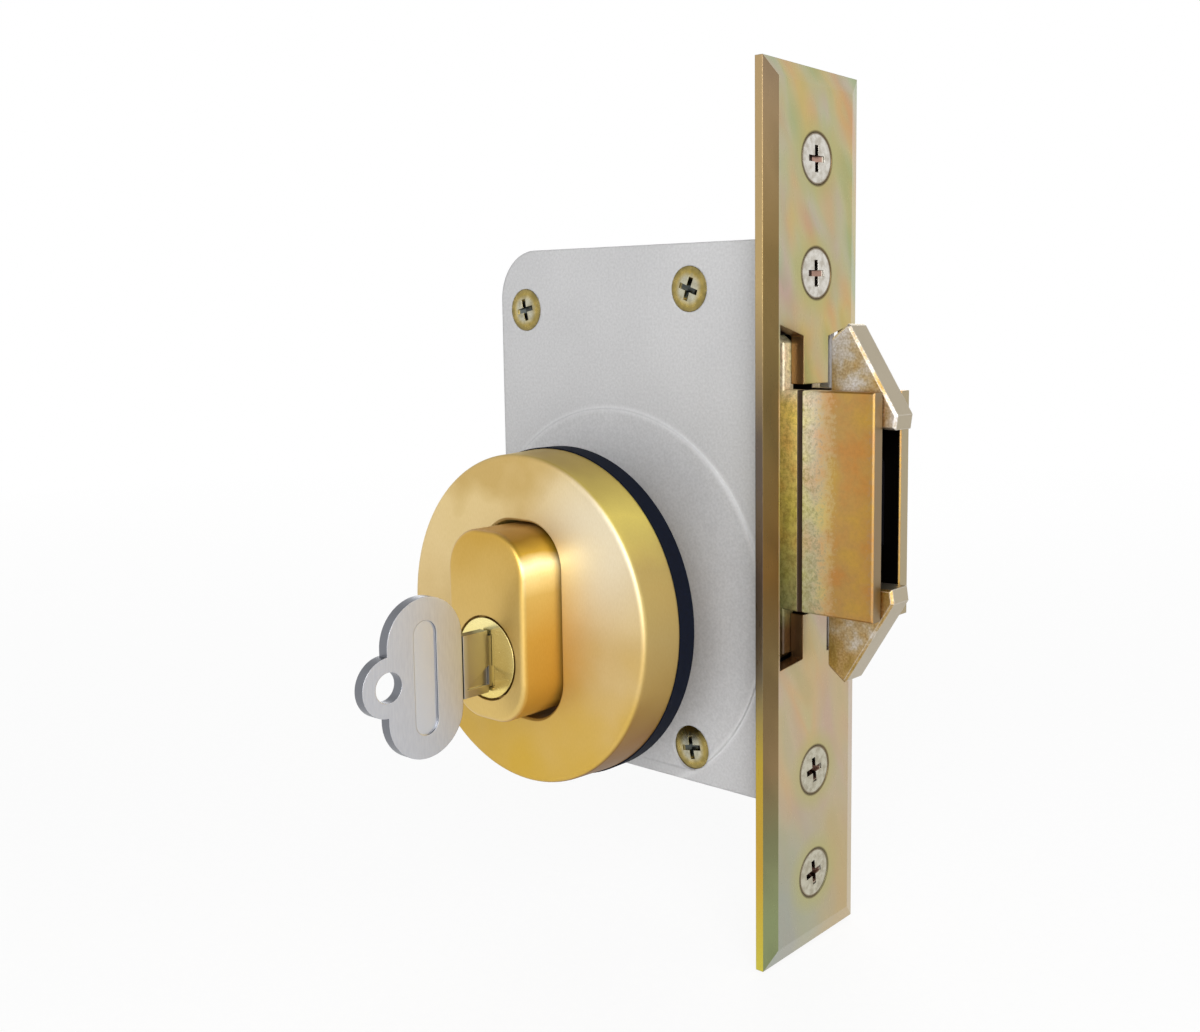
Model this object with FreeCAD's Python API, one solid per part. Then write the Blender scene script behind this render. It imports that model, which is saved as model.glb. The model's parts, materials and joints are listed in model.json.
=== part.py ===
"""Mortice lock with a claw bolt, a round security escutcheon and a key-operated oval cylinder.

Frame: the origin is the centre of the faceplate's back face, where the plate meets the door edge.
+X is the way the bolt is thrown, -Y is the key side and +Z is up. All lengths are millimetres.
At rest the bolt is thrown, the two claws are spread and the key is in the plug.
"""
import FreeCAD
import Part
import math
import os

V = FreeCAD.Vector

# Faceplate
plate_h = 165.0
plate_w = 29.6
plate_t = 2.8
bevel_w = 3.2
bevel_d = 1.15
screw_mid_z = -0.85
door_screw_step = 20.45
opening_half_h = 21.4
opening_half_w = 6.4
slot_inner_y = 3.9
slot_outer_y = 11.2
slot_top_outer = 32.1
slot_top_inner = 30.1
slot_bottom_outer = 30.5
slot_bottom_inner = 29.7

# Lock case
case_h = 103.6
case_len = 70.7
case_t = 20.0
case_wall = 1.5
case_corner_r = 10.0
pad_r = 38.0
pad_h = 0.35
pillar_r = 3.6
pillar_rear_inset = 7.2
pillar_front_x = -19.2
pillar_front_end_gap = 7.65
pillar_rear_end_gap = 11.2
lug_len = 12.0
lug_h = 7.0
lug_w = 12.0
lug_end_gap = 5.0

# Screws: head radius, shank radius and length of each kind
m5_head_r = 4.6
m5_head_h = 2.1
m5_r = 2.4
plate_screw_len = 12.0
case_head_r = 4.3
case_head_h = 1.45
case_screw_r = 1.9
case_screw_len = 11.0
small_head_r = 3.5
small_head_h = 1.4
small_r = 1.9
escutcheon_grip = 5.0
cylinder_grip = 10.0

# Bolt
bolt_z = 4.5
bolt_reach = 16.4
bolt_half_h = 20.4
wall_t = 3.0
claw_gap = 6.0
claw_t = 5.8
shoulder_end_gap = 21.5
shoulder_gap = 0.2
shoulder_len = 7.5
shoulder_chamfer_x = 2.0
shoulder_chamfer_z = 1.5
arm_half_h_top = 14.0
arm_rear = 40.4
groove_w = 1.2
groove_d = 0.35
spacer_r = 2.2
spacer_end_r = 1.2
spacer_x = 5.9
spacer_in = 4.3
rear_spacer_x = 38.0
rear_spacer_r = 1.7
rear_spacer_dz = 12.0

# Claws, measured from the faceplate's front and the bolt's centre line
claw_pivot_x = 2.5
claw_pivot_z = 16.5
claw_pin_r = 1.75
claw_pin_blind = 1.6
claw_boss_r = 3.2
hook_inner_x = 5.4
hook_inner_top = 29.9
hook_crest_x = 9.2
hook_crest_z = 32.3
hook_tip_x = 19.1
hook_tip_z = 16.4
hook_lip_x = 18.7
hook_lip_z = 13.8
hook_heel_x = 16.6
claw_edge_bevel = 0.45
lower_hook_shift = -0.35
lower_hook_drop = 0.8

# Gearing
rack_module = 1.0
input_module = 0.75
claw_teeth = 16
bolt_pinion_teeth = 12
bar_pinion_teeth = 19
tail_gear_teeth = 10
drive_gear_teeth = 20
pressure_deg = 25.0
addendum = 0.8
dedendum = 1.05
tooth_backlash = 0.06
bar_t = 5.6
bar_front = 13.2
bar_rear = 40.2
drive_gear_t = 1.9
drive_shaft_r = 2.0
sleeve_r = 3.0
bush_r = 3.5

# Cylinder, plug and key
backset = 42.3
cylinder_z = -17.5
cylinder_w = 20.0
cylinder_h = 35.0
cylinder_corner_r = 7.9
cylinder_front = 43.7
cylinder_edge = 1.1
cylinder_screw_x = 5.5
cylinder_screw_drop = 5.5
plug_drop = 5.85
plug_r = 6.9
plug_flange_r = 7.4
plug_flange_t = 1.9
plug_groove = 0.45
plug_recess = 0.05
keyway_mouth = 1.1
keyway_mouth_d = 0.4
plug_rear_gap = 0.6
clip_t = 0.8
clip_grip = 1.2
clip_rim = 0.95
tail_r = 1.9
pin_r = 1.45
pin_pitch = 4.0
pin_count = 5
first_pin_in = 10.7
driver_len = 4.6
spring_r = 1.25
spring_wall = 0.35
cap_len = 1.6
blade_h = 9.4
blade_t = 2.1
blade_below_axis = 5.1
blade_past_pins = 2.6
ward_w = 1.6
ward_d = 0.55
ward_up = 5.8
wide_ward_w = 3.5
wide_ward_up = 2.2
cut_step = 0.55
first_cut = 0.9
cut_ahead = 0.9
neck_h = 11.4
neck_len = 5.6
bow_lobe_r = 7.9
bow_lobe_dz = 6.3
bow_out = 14.2
ring_out = 7.75
ring_r = 5.25
ring_hole_r = 2.65
bow_panel_w = 4.8
bow_panel_h = 20.2
bow_panel_d = 0.35

# Escutcheon
escutcheon_r = 31.25
escutcheon_z = -17.85
escutcheon_taper = 0.4
escutcheon_front = 35.0
escutcheon_t = 8.8
escutcheon_edge = 1.0
slot_side_gap = 0.45
slot_end_gap = 1.05
gasket_r = 31.5
gasket_in_r = 27.5
gasket_t = 3.8
post_circle_r = 23.0
post_r = 3.5

# Clearances
run = 0.05
slide = 0.2
hole_gap = 0.1
seat = 0.02
guide_gap = 0.25
guide_t = 2.4
guide_len = 30.0
guide_post_r = 2.5
guide_post_ahead = 3.0
guide_post_step = 12.0

# Derived places
front = plate_t
case_y = case_t / 2
inner_y = case_y - case_wall
pad_y = -case_y - pad_h
wall_in_y = claw_gap / 2
wall_out_y = wall_in_y + wall_t
rack_z = claw_pivot_z - claw_teeth * rack_module / 2
bar_pinion_r = bar_pinion_teeth * rack_module / 2
bolt_pinion_r = bolt_pinion_teeth * rack_module / 2
shaft_z = bolt_z - rack_z - bar_pinion_r
key_x = front - backset
plug_z = cylinder_z - plug_drop
input_distance = (tail_gear_teeth + drive_gear_teeth) * input_module / 2
shaft_x = key_x + math.sqrt(input_distance ** 2 - (shaft_z - plug_z) ** 2)
bolt_rack_z = shaft_z + bolt_pinion_r - bolt_z
rear_x = -case_len
bottom_z = -case_h / 2
top_z = case_h / 2
case_screw_z = top_z - lug_end_gap
door_screw_z = case_screw_z + door_screw_step
shoulder_half_h = top_z - shoulder_end_gap
spacer_half_z = shoulder_half_h - spacer_in


def box(x0, x1, y0, y1, z0, z1):
    """Box between two corners."""
    low = V(min(x0, x1), min(y0, y1), min(z0, z1))
    return Part.makeBox(abs(x1 - x0), abs(y1 - y0), abs(z1 - z0), low)


def rod_x(y, z, r, x0, x1):
    """Round rod along X."""
    return Part.makeCylinder(r, abs(x1 - x0), V(min(x0, x1), y, z), V(1, 0, 0))


def rod_y(x, z, r, y0, y1):
    """Round rod along Y."""
    return Part.makeCylinder(r, abs(y1 - y0), V(x, min(y0, y1), z), V(0, 1, 0))


def prism_y(points, y0, y1):
    """Outline of (x, z) points drawn out along Y."""
    corners = [V(x, y0, z) for x, z in points]
    return Part.Face(Part.makePolygon(corners + corners[:1])).extrude(V(0, y1 - y0, 0))


def prism_x(points, x0, x1):
    """Outline of (y, z) points drawn out along X."""
    corners = [V(x0, y, z) for y, z in points]
    return Part.Face(Part.makePolygon(corners + corners[:1])).extrude(V(x1 - x0, 0, 0))


def join(shapes):
    """One clean solid out of touching shapes."""
    first = shapes[0]
    return first.multiFuse(shapes[1:]).removeSplitter() if len(shapes) > 1 else first


def cut(shape, tools):
    """Shape with all the tools taken out."""
    return shape.cut(Part.makeCompound(tools)).removeSplitter()


def save(node, shapes):
    """Write one node's solids to its STEP file."""
    shapes = shapes if isinstance(shapes, list) else [shapes]
    solids = [solid for shape in shapes for solid in shape.Solids]
    result = solids[0] if len(solids) == 1 else Part.makeCompound(solids)
    result.exportStep(os.path.join("parts", node + ".step"))


def place(shape, position, outward, spin=0.0):
    """Turn a shape built along +Z so that +Z points outward, and move it to a position."""
    turned = shape.copy()
    turned.rotate(V(0, 0, 0), V(0, 0, 1), spin)
    turned.Placement = FreeCAD.Placement(position, FreeCAD.Rotation(V(0, 0, 1), outward)).multiply(
        turned.Placement)
    return turned


def cross_recess(reach, depth, width):
    """Tapered cross cut into a screw head from z = 0 downwards."""
    arm = [V(-reach, -width / 2, 0.5), V(reach, -width / 2, 0.5), V(reach * 0.9, -width / 2, -0.3),
           V(reach * 0.35, -width / 2, -depth), V(-reach * 0.35, -width / 2, -depth),
           V(-reach * 0.9, -width / 2, -0.3)]
    bar = Part.Face(Part.makePolygon(arm + arm[:1])).extrude(V(0, width, 0))
    other = bar.copy()
    other.rotate(V(0, 0, 0), V(0, 0, 1), 90)
    return bar.fuse(other)


def screw(head_r, head_h, shank_r, length, dome=0.0):
    """Countersunk cross-head screw, its head's rim at z = 0 and its point downwards."""
    head = Part.makeCone(shank_r, head_r, head_h, V(0, 0, -head_h))
    shank = Part.makeCylinder(shank_r, length - head_h - shank_r, V(0, 0, -length + shank_r))
    tip = Part.makeCone(shank_r * 0.45, shank_r, shank_r, V(0, 0, -length))
    parts = [head, shank, tip]
    if dome > 0:
        ball_r = (head_r ** 2 + dome ** 2) / (2 * dome)
        ball = Part.makeSphere(ball_r, V(0, 0, dome - ball_r))
        parts.append(ball.common(Part.makeCylinder(head_r, dome, V(0, 0, 0))))
    recess = cross_recess(head_r * 0.56, head_h * 0.8, head_r * 0.24)
    recess.translate(V(0, 0, dome))
    return cut(join(parts), [recess])


def screw_seat(head_r, head_h, shank_r, length):
    """Room for a screw: countersink and clearance hole, rim at z = 0."""
    rim = Part.makeCylinder(head_r + hole_gap, 2.0, V(0, 0, -seat))
    cone = Part.makeCone(shank_r + hole_gap, head_r + hole_gap, head_h, V(0, 0, -head_h - seat))
    hole = Part.makeCylinder(shank_r + hole_gap, length + 0.5, V(0, 0, -length - 0.5))
    return join([rim, cone, hole])


def thread_hole(shank_r, length):
    """Tapped hole for a screw's shank, which fills it but for the fit's clearance."""
    return Part.makeCylinder(shank_r + seat, length + 0.3, V(0, 0, -length - 0.3))


def rounded_y(x, z, width, height, r, y0, y1):
    """Upright rectangle with rounded corners, drawn out along Y."""
    across = width / 2 - r
    up = height / 2 - r
    parts = [box(x - width / 2, x + width / 2, y0, y1, z - up, z + up),
             box(x - across, x + across, y0, y1, z - height / 2, z + height / 2)]
    for side in (-1, 1):
        for end in (-1, 1):
            parts.append(rod_y(x + side * across, z + end * up, r, y0, y1))
    return join(parts)


def involute(base_r, r):
    """Angle of the involute at radius r, from its start on the base circle."""
    a = math.acos(min(1.0, base_r / r))
    return math.tan(a) - a


def gear(x, z, teeth, module, y0, y1, gap_at, span=None, hub_r=None):
    """Spur gear about Y with a tooth gap centred at the angle gap_at (degrees, X towards Z).

    With span = (first, last) only the teeth whose centres lie between those angles are kept and
    the rest is turned down to hub_r.
    """
    pitch_r = teeth * module / 2
    base_r = pitch_r * math.cos(math.radians(pressure_deg))
    tip_r = pitch_r + addendum * module
    root_r = pitch_r - dedendum * module
    half = math.pi / (2 * teeth) - tooth_backlash / pitch_r + involute(base_r, pitch_r)
    radii = [max(root_r, base_r) + i * (tip_r - max(root_r, base_r)) / 5 for i in range(6)]
    points = []
    pitch = 2 * math.pi / teeth
    start = math.radians(gap_at) + pitch / 2
    if span is None:
        kept = range(teeth)
    else:
        kept = [k for k in range(teeth)
                if span[0] <= (math.degrees(start + k * pitch) - span[0]) % 360 + span[0] <= span[1]]
        kept = sorted(kept, key=lambda k: (math.degrees(start + k * pitch) - span[0]) % 360)
    for k in kept:
        middle = start + k * pitch
        rising = [(root_r, -half)] + [(r, -half + involute(base_r, r)) for r in radii]
        falling = [(r, -a) for r, a in reversed(rising)]
        for r, a in rising + falling:
            points.append(V(x + r * math.cos(middle + a), y0, z + r * math.sin(middle + a)))
    if span is not None:
        points.append(V(x, y0, z))
    outline = Part.Face(Part.makePolygon(points + points[:1]))
    body = outline.extrude(V(0, y1 - y0, 0))
    if span is not None:
        return body
    return join([body, rod_y(x, z, root_r - 0.05, y0, y1)])


def rack_teeth(pitch_z, inward, centre_x, x0, x1, y0, y1):
    """Points (x, z) of rack teeth between x0 and x1, with a tooth centred on centre_x.

    pitch_z is the pitch line, and inward is +1 where the teeth point towards +Z.
    """
    slope = math.tan(math.radians(pressure_deg))
    half = math.pi * rack_module / 4 - tooth_backlash
    tip = addendum * rack_module
    root = dedendum * rack_module
    pitch = math.pi * rack_module
    first = math.ceil((x0 - centre_x + half + root * slope) / pitch)
    last = math.floor((x1 - centre_x - half - root * slope) / pitch)
    teeth = []
    for k in range(first, last + 1):
        c = centre_x + k * pitch
        outline = [(c - half - root * slope, pitch_z - inward * root),
                   (c - half + tip * slope, pitch_z + inward * tip),
                   (c + half - tip * slope, pitch_z + inward * tip),
                   (c + half + root * slope, pitch_z - inward * root)]
        outline += [(c + half + root * slope, pitch_z - inward * (root + 0.3)),
                    (c - half - root * slope, pitch_z - inward * (root + 0.3))]
        teeth.append(prism_y(outline, y0, y1))
    return teeth


# The plate on the door's edge
def make_faceplate():
    """Bevelled plate with the bolt's opening, the two tall slots and four countersunk holes."""
    half_w = plate_w / 2
    half_h = plate_h / 2
    back = box(0, front - bevel_d, -half_w, half_w, -half_h, half_h)
    outer = [V(front - bevel_d, y, z) for y, z in
             ((-half_w, -half_h), (half_w, -half_h), (half_w, half_h), (-half_w, half_h))]
    flat_w = half_w - bevel_w
    flat_h = half_h - bevel_w
    flat = [V(front, y, z) for y, z in
            ((-flat_w, -flat_h), (flat_w, -flat_h), (flat_w, flat_h), (-flat_w, flat_h))]
    crown = Part.makeLoft([Part.makePolygon(outer + outer[:1]), Part.makePolygon(flat + flat[:1])],
                          True, True)
    plate = join([back, crown])
    tools = [box(-1, front + 1, -opening_half_w, opening_half_w,
                 bolt_z - opening_half_h, bolt_z + opening_half_h)]
    for side in (-1, 1):
        corners = [(side * slot_inner_y, bolt_z - slot_bottom_inner),
                   (side * slot_outer_y, bolt_z - slot_bottom_outer),
                   (side * slot_outer_y, bolt_z + slot_top_outer),
                   (side * slot_inner_y, bolt_z + slot_top_inner)]
        tools.append(prism_x(corners, -1, front + 1))
    for spread in (door_screw_z, case_screw_z):
        for z in (screw_mid_z - spread, screw_mid_z + spread):
            tools.append(place(screw_seat(m5_head_r, m5_head_h, m5_r, plate_screw_len), V(front, 0, z),
                               V(1, 0, 0)))
    return cut(plate, tools)


def plate_screws(spread):
    """Two countersunk screws in the faceplate, spread above and below the middle of the pattern."""
    turned = []
    for side in (-1, 1):
        turned.append(place(screw(m5_head_r, m5_head_h, m5_r, plate_screw_len),
                            V(front - 2 * seat, 0, screw_mid_z + side * spread), V(1, 0, 0), 4 - 3 * side))
    return turned


# The lock case
def case_outline(grow, y0, y1):
    """Block with the case's side outline, rounded at the two rear corners."""
    r = case_corner_r + grow
    x0 = rear_x - grow
    z0 = bottom_z - grow
    z1 = top_z + grow
    middle = box(x0 + r, 0, y0, y1, z0, z1)
    tall = box(x0, x0 + r, y0, y1, z0 + r, z1 - r)
    return join([middle, tall, rod_y(x0 + r, z0 + r, r, y0, y1), rod_y(x0 + r, z1 - r, r, y0, y1)])


pillars = [(rear_x + pillar_rear_inset, screw_mid_z + top_z - pillar_rear_end_gap),
           (rear_x + pillar_rear_inset, screw_mid_z - top_z + pillar_rear_end_gap),
           (pillar_front_x, screw_mid_z + top_z - pillar_front_end_gap),
           (pillar_front_x, screw_mid_z - top_z + pillar_front_end_gap)]


def screw_places_y(points, y, head_r, head_h, shank_r, length, outward, maker):
    """Screws or seats along Y at (x, z) points."""
    made = []
    for i, (x, z) in enumerate(points):
        made.append(place(maker(head_r, head_h, shank_r, length), V(x, y, z), V(0, outward, 0),
                          10 + 24 * i))
    return made


def make_case_body():
    """Tray with a back wall, a rim and four screw pillars."""
    outer = case_outline(0, -inner_y, case_y)
    room = case_outline(-case_wall, -inner_y - 1, inner_y)
    room = join([room, box(-case_corner_r, 1, -inner_y - 1, inner_y, bottom_z + case_wall,
                           top_z - case_wall)])
    tray = outer.cut(room)
    posts = [rod_y(x, z, pillar_r, -inner_y, inner_y + 0.2) for x, z in pillars]
    tools = [rod_y(x, z, case_screw_r + seat, -inner_y - 1, -case_y + case_screw_len + 0.4)
             for x, z in pillars]
    tools.append(rod_y(shaft_x, shaft_z, bush_r, inner_y - 1, case_y + 1))
    return cut(join([tray] + posts), tools)


def post_points():
    """Places of the escutcheon's posts: above, behind and below the cylinder."""
    return [(key_x + post_circle_r * math.cos(math.radians(a)),
             escutcheon_z + post_circle_r * math.sin(math.radians(a))) for a in (90, 180, 270)]


def cylinder_screw_points():
    """Places of the screws that hold the cylinder, either side of the pin chambers."""
    return [(key_x + side * cylinder_screw_x, cylinder_top - cylinder_screw_drop) for side in (-1, 1)]


def make_case_cover():
    """Flat cover with a low round pad under the escutcheon."""
    sheet = case_outline(0, -case_y, -inner_y)
    pad = rod_y(key_x, escutcheon_z, pad_r, pad_y, -case_y + 0.2)
    pad = pad.common(case_outline(-2.2, pad_y, -case_y + 0.2))
    pad = pad.cut(box(-3.0, 5, pad_y - 1, 0, bottom_z, top_z))
    tools = screw_places_y(pillars, -case_y, case_head_r, case_head_h, case_screw_r, case_screw_len,
                           -1, screw_seat)
    tools += screw_places_y(post_points(), -inner_y, small_head_r, small_head_h, small_r, 6.0, 1,
                            screw_seat)
    tools += screw_places_y(cylinder_screw_points(), -inner_y, small_head_r, small_head_h, small_r,
                            6.0, 1, screw_seat)
    tools.append(rod_y(shaft_x, shaft_z, bush_r, pad_y - 1, -inner_y + 1))
    tools.append(rod_y(key_x, plug_z, tail_r + slide, pad_y - 1, -inner_y + 1))
    return cut(join([sheet, pad]), tools)


def make_lugs():
    """Blocks fixed in the case's front corners, tapped for the faceplate's inner screws."""
    lugs = []
    for side in (-1, 1):
        z = screw_mid_z + side * case_screw_z
        end = side * (top_z - case_wall)
        block = box(-lug_len, 0, -lug_w / 2, lug_w / 2, z - side * lug_h / 2, end)
        hole = place(thread_hole(m5_r, plate_screw_len), V(front, 0, z), V(1, 0, 0))
        rib = box(-lug_len, 0, lug_w / 2, inner_y, z - side * lug_h / 2, end)
        lugs.append(cut(join([block, rib]), [hole]))
    return lugs


def make_guides():
    """Bars above and below the bolt's shoulders, across the whole width of the case."""
    bars = []
    for side in (-1, 1):
        z0 = bolt_z + side * (shoulder_half_h + guide_gap)
        bars.append(box(-guide_len, 0, -inner_y, inner_y, z0, z0 + side * guide_t))
    return bars


def make_guide_posts():
    """Round posts that the bolt's rear arm runs under."""
    z = bolt_z + arm_half_h_top + guide_gap + guide_post_r
    first = arm_rear + guide_post_ahead
    return [rod_y(front - x, z, guide_post_r, -inner_y, inner_y) for x in (first, first + guide_post_step)]


def make_bushes():
    """Bushes for the drive shaft in the cover and in the back wall."""
    bushes = []
    for y0, y1 in ((pad_y, -inner_y), (inner_y, case_y)):
        bushes.append(cut(rod_y(shaft_x, shaft_z, bush_r, y0, y1),
                          [rod_y(shaft_x, shaft_z, drive_shaft_r + run, y0 - 1, y1 + 1)]))
    return bushes


# The bolt and its claws
def wall_outline(sag):
    """Side outline of a bolt wall: nose, tall shoulders and rear arm down to sag below centre."""
    nose = front + bolt_reach
    stop = -shoulder_gap
    back = stop - shoulder_len
    rear = front - arm_rear
    top = [(nose, bolt_half_h), (stop, bolt_half_h),
           (stop, shoulder_half_h - shoulder_chamfer_z), (stop - shoulder_chamfer_x, shoulder_half_h),
           (back, shoulder_half_h), (back, arm_half_h_top), (rear, arm_half_h_top)]
    low = [(rear, -sag), (back, -sag), (back, -shoulder_half_h),
           (stop - shoulder_chamfer_x, -shoulder_half_h), (stop, -shoulder_half_h + shoulder_chamfer_z),
           (stop, -bolt_half_h), (nose, -bolt_half_h)]
    return [(x, bolt_z + z) for x, z in top + low]


def bevel_edges(shape, chosen, size):
    """Chamfer the edges for which the test chosen(edge) holds."""
    edges = [edge for edge in shape.Edges if chosen(edge)]
    return shape.makeChamfer(size, edges) if edges else shape


def spacer_points():
    """Places (x, z, r) of the spacers that tie the bolt's two walls together."""
    shoulder = [(front - spacer_x, bolt_z + side * spacer_half_z, spacer_r) for side in (-1, 1)]
    return shoulder + [(front - rear_spacer_x, bolt_z + rear_spacer_dz, rear_spacer_r)]


def wall_holes(side):
    """Holes in a bolt wall: the claw pins end blind in the near wall and go through the far one."""
    reach = claw_pin_blind + 0.05 if side < 0 else wall_t + 1
    holes = []
    for z in (bolt_z - claw_pivot_z, bolt_z + claw_pivot_z):
        holes.append(rod_y(front + claw_pivot_x, z, claw_pin_r, side * (wall_in_y - 1),
                           side * (wall_in_y + reach)))
    for x, z, _ in spacer_points():
        holes.append(rod_y(x, z, spacer_end_r, side * (wall_in_y - 1), side * (wall_out_y + 1)))
    return holes


def make_bolt_wall(side):
    """One side wall of the bolt, the far one with the rack that the bolt pinion drives."""
    sag = -bolt_rack_z - dedendum * rack_module
    wall = prism_y(wall_outline(sag), side * wall_in_y, side * wall_out_y)
    outer = side * wall_out_y
    nose = front + bolt_reach

    def outer_rim(edge):
        ends = [v.Point for v in edge.Vertexes]
        flat = all(abs(p.y - outer) < 0.01 for p in ends)
        return flat and all(p.x > -shoulder_gap - 0.01 for p in ends)

    def nose_rim(edge):
        ends = [v.Point for v in edge.Vertexes]
        return all(abs(p.x - nose) < 0.01 for p in ends) and abs(ends[0].y - ends[-1].y) < 0.01 and \
            abs(ends[0].y - outer) > 0.01

    wall = bevel_edges(wall, lambda edge: outer_rim(edge) or nose_rim(edge), 0.3)
    groove = box(front, front + groove_w, outer, outer - side * groove_d,
                 bolt_z - bolt_half_h - 1, bolt_z + bolt_half_h + 1)
    if side > 0:
        teeth = rack_teeth(bolt_z + bolt_rack_z, -1, shaft_x, front - arm_rear,
                           -shoulder_gap - shoulder_len - 1.0, wall_in_y, wall_out_y)
        wall = join([wall] + teeth)
    return cut(wall, [groove] + wall_holes(side))


def make_spacers():
    """Shouldered posts between the bolt's walls, their ends flush with the walls' outsides."""
    made = []
    for x, z, r in spacer_points():
        made.append(join([rod_y(x, z, r, -wall_in_y, wall_in_y),
                          rod_y(x, z, spacer_end_r, -wall_out_y, wall_out_y)]))
    return made


def make_claw_pins():
    """Pivot pins of the two claws."""
    return [rod_y(front + claw_pivot_x, z, claw_pin_r, -wall_in_y - claw_pin_blind, wall_out_y)
            for z in (bolt_z + claw_pivot_z, bolt_z - claw_pivot_z)]


def make_claw(side):
    """Claw with a hook outside the bolt and a toothed quadrant inside it.

    side is +1 for the upper claw. The upper claw is built first and the lower one is its mirror
    image about the bolt's centre line.
    """
    px = front + claw_pivot_x
    pz = bolt_z + claw_pivot_z
    y0 = -claw_t / 2
    y1 = claw_t / 2
    heel_angle = math.atan2(hook_lip_z - claw_pivot_z, hook_heel_x - claw_pivot_x)
    tip_r = claw_teeth * rack_module / 2 + addendum * rack_module
    root_r = claw_teeth * rack_module / 2 - dedendum * rack_module
    inner = tip_r + 0.4
    hook = [(hook_inner_x, claw_pivot_z + 1.0), (hook_inner_x, hook_inner_top),
            (hook_crest_x - 0.6, hook_crest_z), (hook_crest_x, hook_crest_z - 0.3),
            (hook_tip_x, hook_tip_z), (hook_lip_x, hook_lip_z), (hook_heel_x, hook_lip_z),
            (claw_pivot_x + inner * math.cos(heel_angle), claw_pivot_z + inner * math.sin(heel_angle)),
            (claw_pivot_x + 1.0, claw_pivot_z + 0.5)]
    shift = lower_hook_shift if side < 0 else 0.0
    drop = lower_hook_drop if side < 0 else 0.0
    placed = [(front + x + shift, bolt_z + z + drop) for x, z in hook[:7]]
    placed += [(front + x, bolt_z + z) for x, z in hook[7:]]
    plate = prism_y(placed, y0, y1)

    def rim(edge):
        ends = [v.Point for v in edge.Vertexes]
        level = abs(ends[0].y - ends[-1].y) < 0.01
        return level and all(p.x > front + hook_inner_x + shift - 0.01 and
                             (p.z > bolt_z + bolt_half_h or p.x > front + hook_heel_x + shift - 0.01)
                             for p in ends)

    plate = bevel_edges(plate, rim, claw_edge_bevel)
    last_tooth = math.degrees(heel_angle) - 8.0
    quadrant = gear(px, pz, claw_teeth, rack_module, y0, y1, -90.0, (-118.0, last_tooth))
    boss = rod_y(px, pz, claw_boss_r, y0, y1)
    hole = rod_y(px, pz, claw_pin_r + run, y0 - 1, y1 + 1)
    claw = cut(join([plate, quadrant, boss]), [hole])
    if side < 0:
        claw = claw.mirror(V(0, 0, bolt_z), V(0, 0, 1))
    return claw


def make_claw_bar():
    """Bar between the bolt's walls with a rack on top for one claw and below for the other."""
    x0 = front - bar_rear
    x1 = front + bar_front
    core = rack_z - dedendum * rack_module
    y0 = -bar_t / 2
    y1 = bar_t / 2
    parts = [box(x0, x1, y0, y1, bolt_z - core, bolt_z + core)]
    centre = front + claw_pivot_x
    parts += rack_teeth(bolt_z + rack_z, 1, centre, front - 2.5, x1, y0, y1)
    parts += rack_teeth(bolt_z - rack_z, -1, centre, x0, x1, y0, y1)
    return join(parts)


# The drive
def mesh_gap_on_bar():
    """Angle of the tooth gap that meets the bar's rack above the pinion, with the rack's phase."""
    pitch = math.pi * rack_module
    offset = (front + claw_pivot_x - shaft_x) % pitch
    return 90.0 - math.degrees(offset / bar_pinion_r)


def input_line_angle():
    """Direction from the plug's axis to the drive shaft, in degrees."""
    return math.degrees(math.atan2(shaft_z - plug_z, shaft_x - key_x))


def make_drive_gear():
    """Gear on the drive shaft that the plug's tail gear turns."""
    y0 = -inner_y + slide
    line = input_line_angle() + 180.0
    wheel = gear(shaft_x, shaft_z, drive_gear_teeth, input_module, y0, y0 + drive_gear_t, line)
    return cut(wheel, [rod_y(shaft_x, shaft_z, drive_shaft_r, y0 - 1, y0 + drive_gear_t + 1)])


def make_tail_gear():
    """Small gear on the plug's tail, a tooth pointing at the drive shaft."""
    y0 = -inner_y + slide
    line = input_line_angle() + 180.0 / tail_gear_teeth
    wheel = gear(key_x, plug_z, tail_gear_teeth, input_module, y0, y0 + drive_gear_t, line)
    return cut(wheel, [rod_y(key_x, plug_z, tail_r, y0 - 1, y0 + drive_gear_t + 1)])


def make_bar_pinion():
    """Large pinion under the claw bar."""
    y1 = bar_t / 2
    wheel = gear(shaft_x, shaft_z, bar_pinion_teeth, rack_module, -y1, y1, mesh_gap_on_bar())
    return cut(wheel, [rod_y(shaft_x, shaft_z, drive_shaft_r, -y1 - 1, y1 + 1)])


def make_bolt_pinion():
    """Small pinion under the far wall's rack."""
    y0 = wall_in_y + 0.1
    y1 = wall_out_y - 0.1
    wheel = gear(shaft_x, shaft_z, bolt_pinion_teeth, rack_module, y0, y1, 90.0)
    return cut(wheel, [rod_y(shaft_x, shaft_z, drive_shaft_r, y0 - 1, y1 + 1)])


def make_sleeves():
    """Sleeves that keep the gears apart on the shaft."""
    ends = [(-inner_y + slide + drive_gear_t, -bar_t / 2), (bar_t / 2, wall_in_y + 0.1),
            (wall_out_y - 0.1, inner_y - slide)]
    return [cut(rod_y(shaft_x, shaft_z, sleeve_r, y0, y1),
                [rod_y(shaft_x, shaft_z, drive_shaft_r, y0 - 1, y1 + 1)]) for y0, y1 in ends]


def make_drive_shaft():
    """Plain shaft from bush to bush."""
    return rod_y(shaft_x, shaft_z, drive_shaft_r, pad_y + 0.1, case_y - 0.1)


# The cylinder
def pin_places():
    """Y of each pin, from the front backwards."""
    return [-cylinder_front + first_pin_in + i * pin_pitch for i in range(pin_count)]


shear_z = plug_z + plug_r + run
blade_low = plug_z - blade_below_axis
blade_top = blade_low + blade_h
cylinder_top = cylinder_z + cylinder_h / 2


def cut_height(i):
    """Height of the key's cut under pin i: deeper towards the tip, so the key slides out freely."""
    return blade_top - first_cut - i * cut_step


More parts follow.
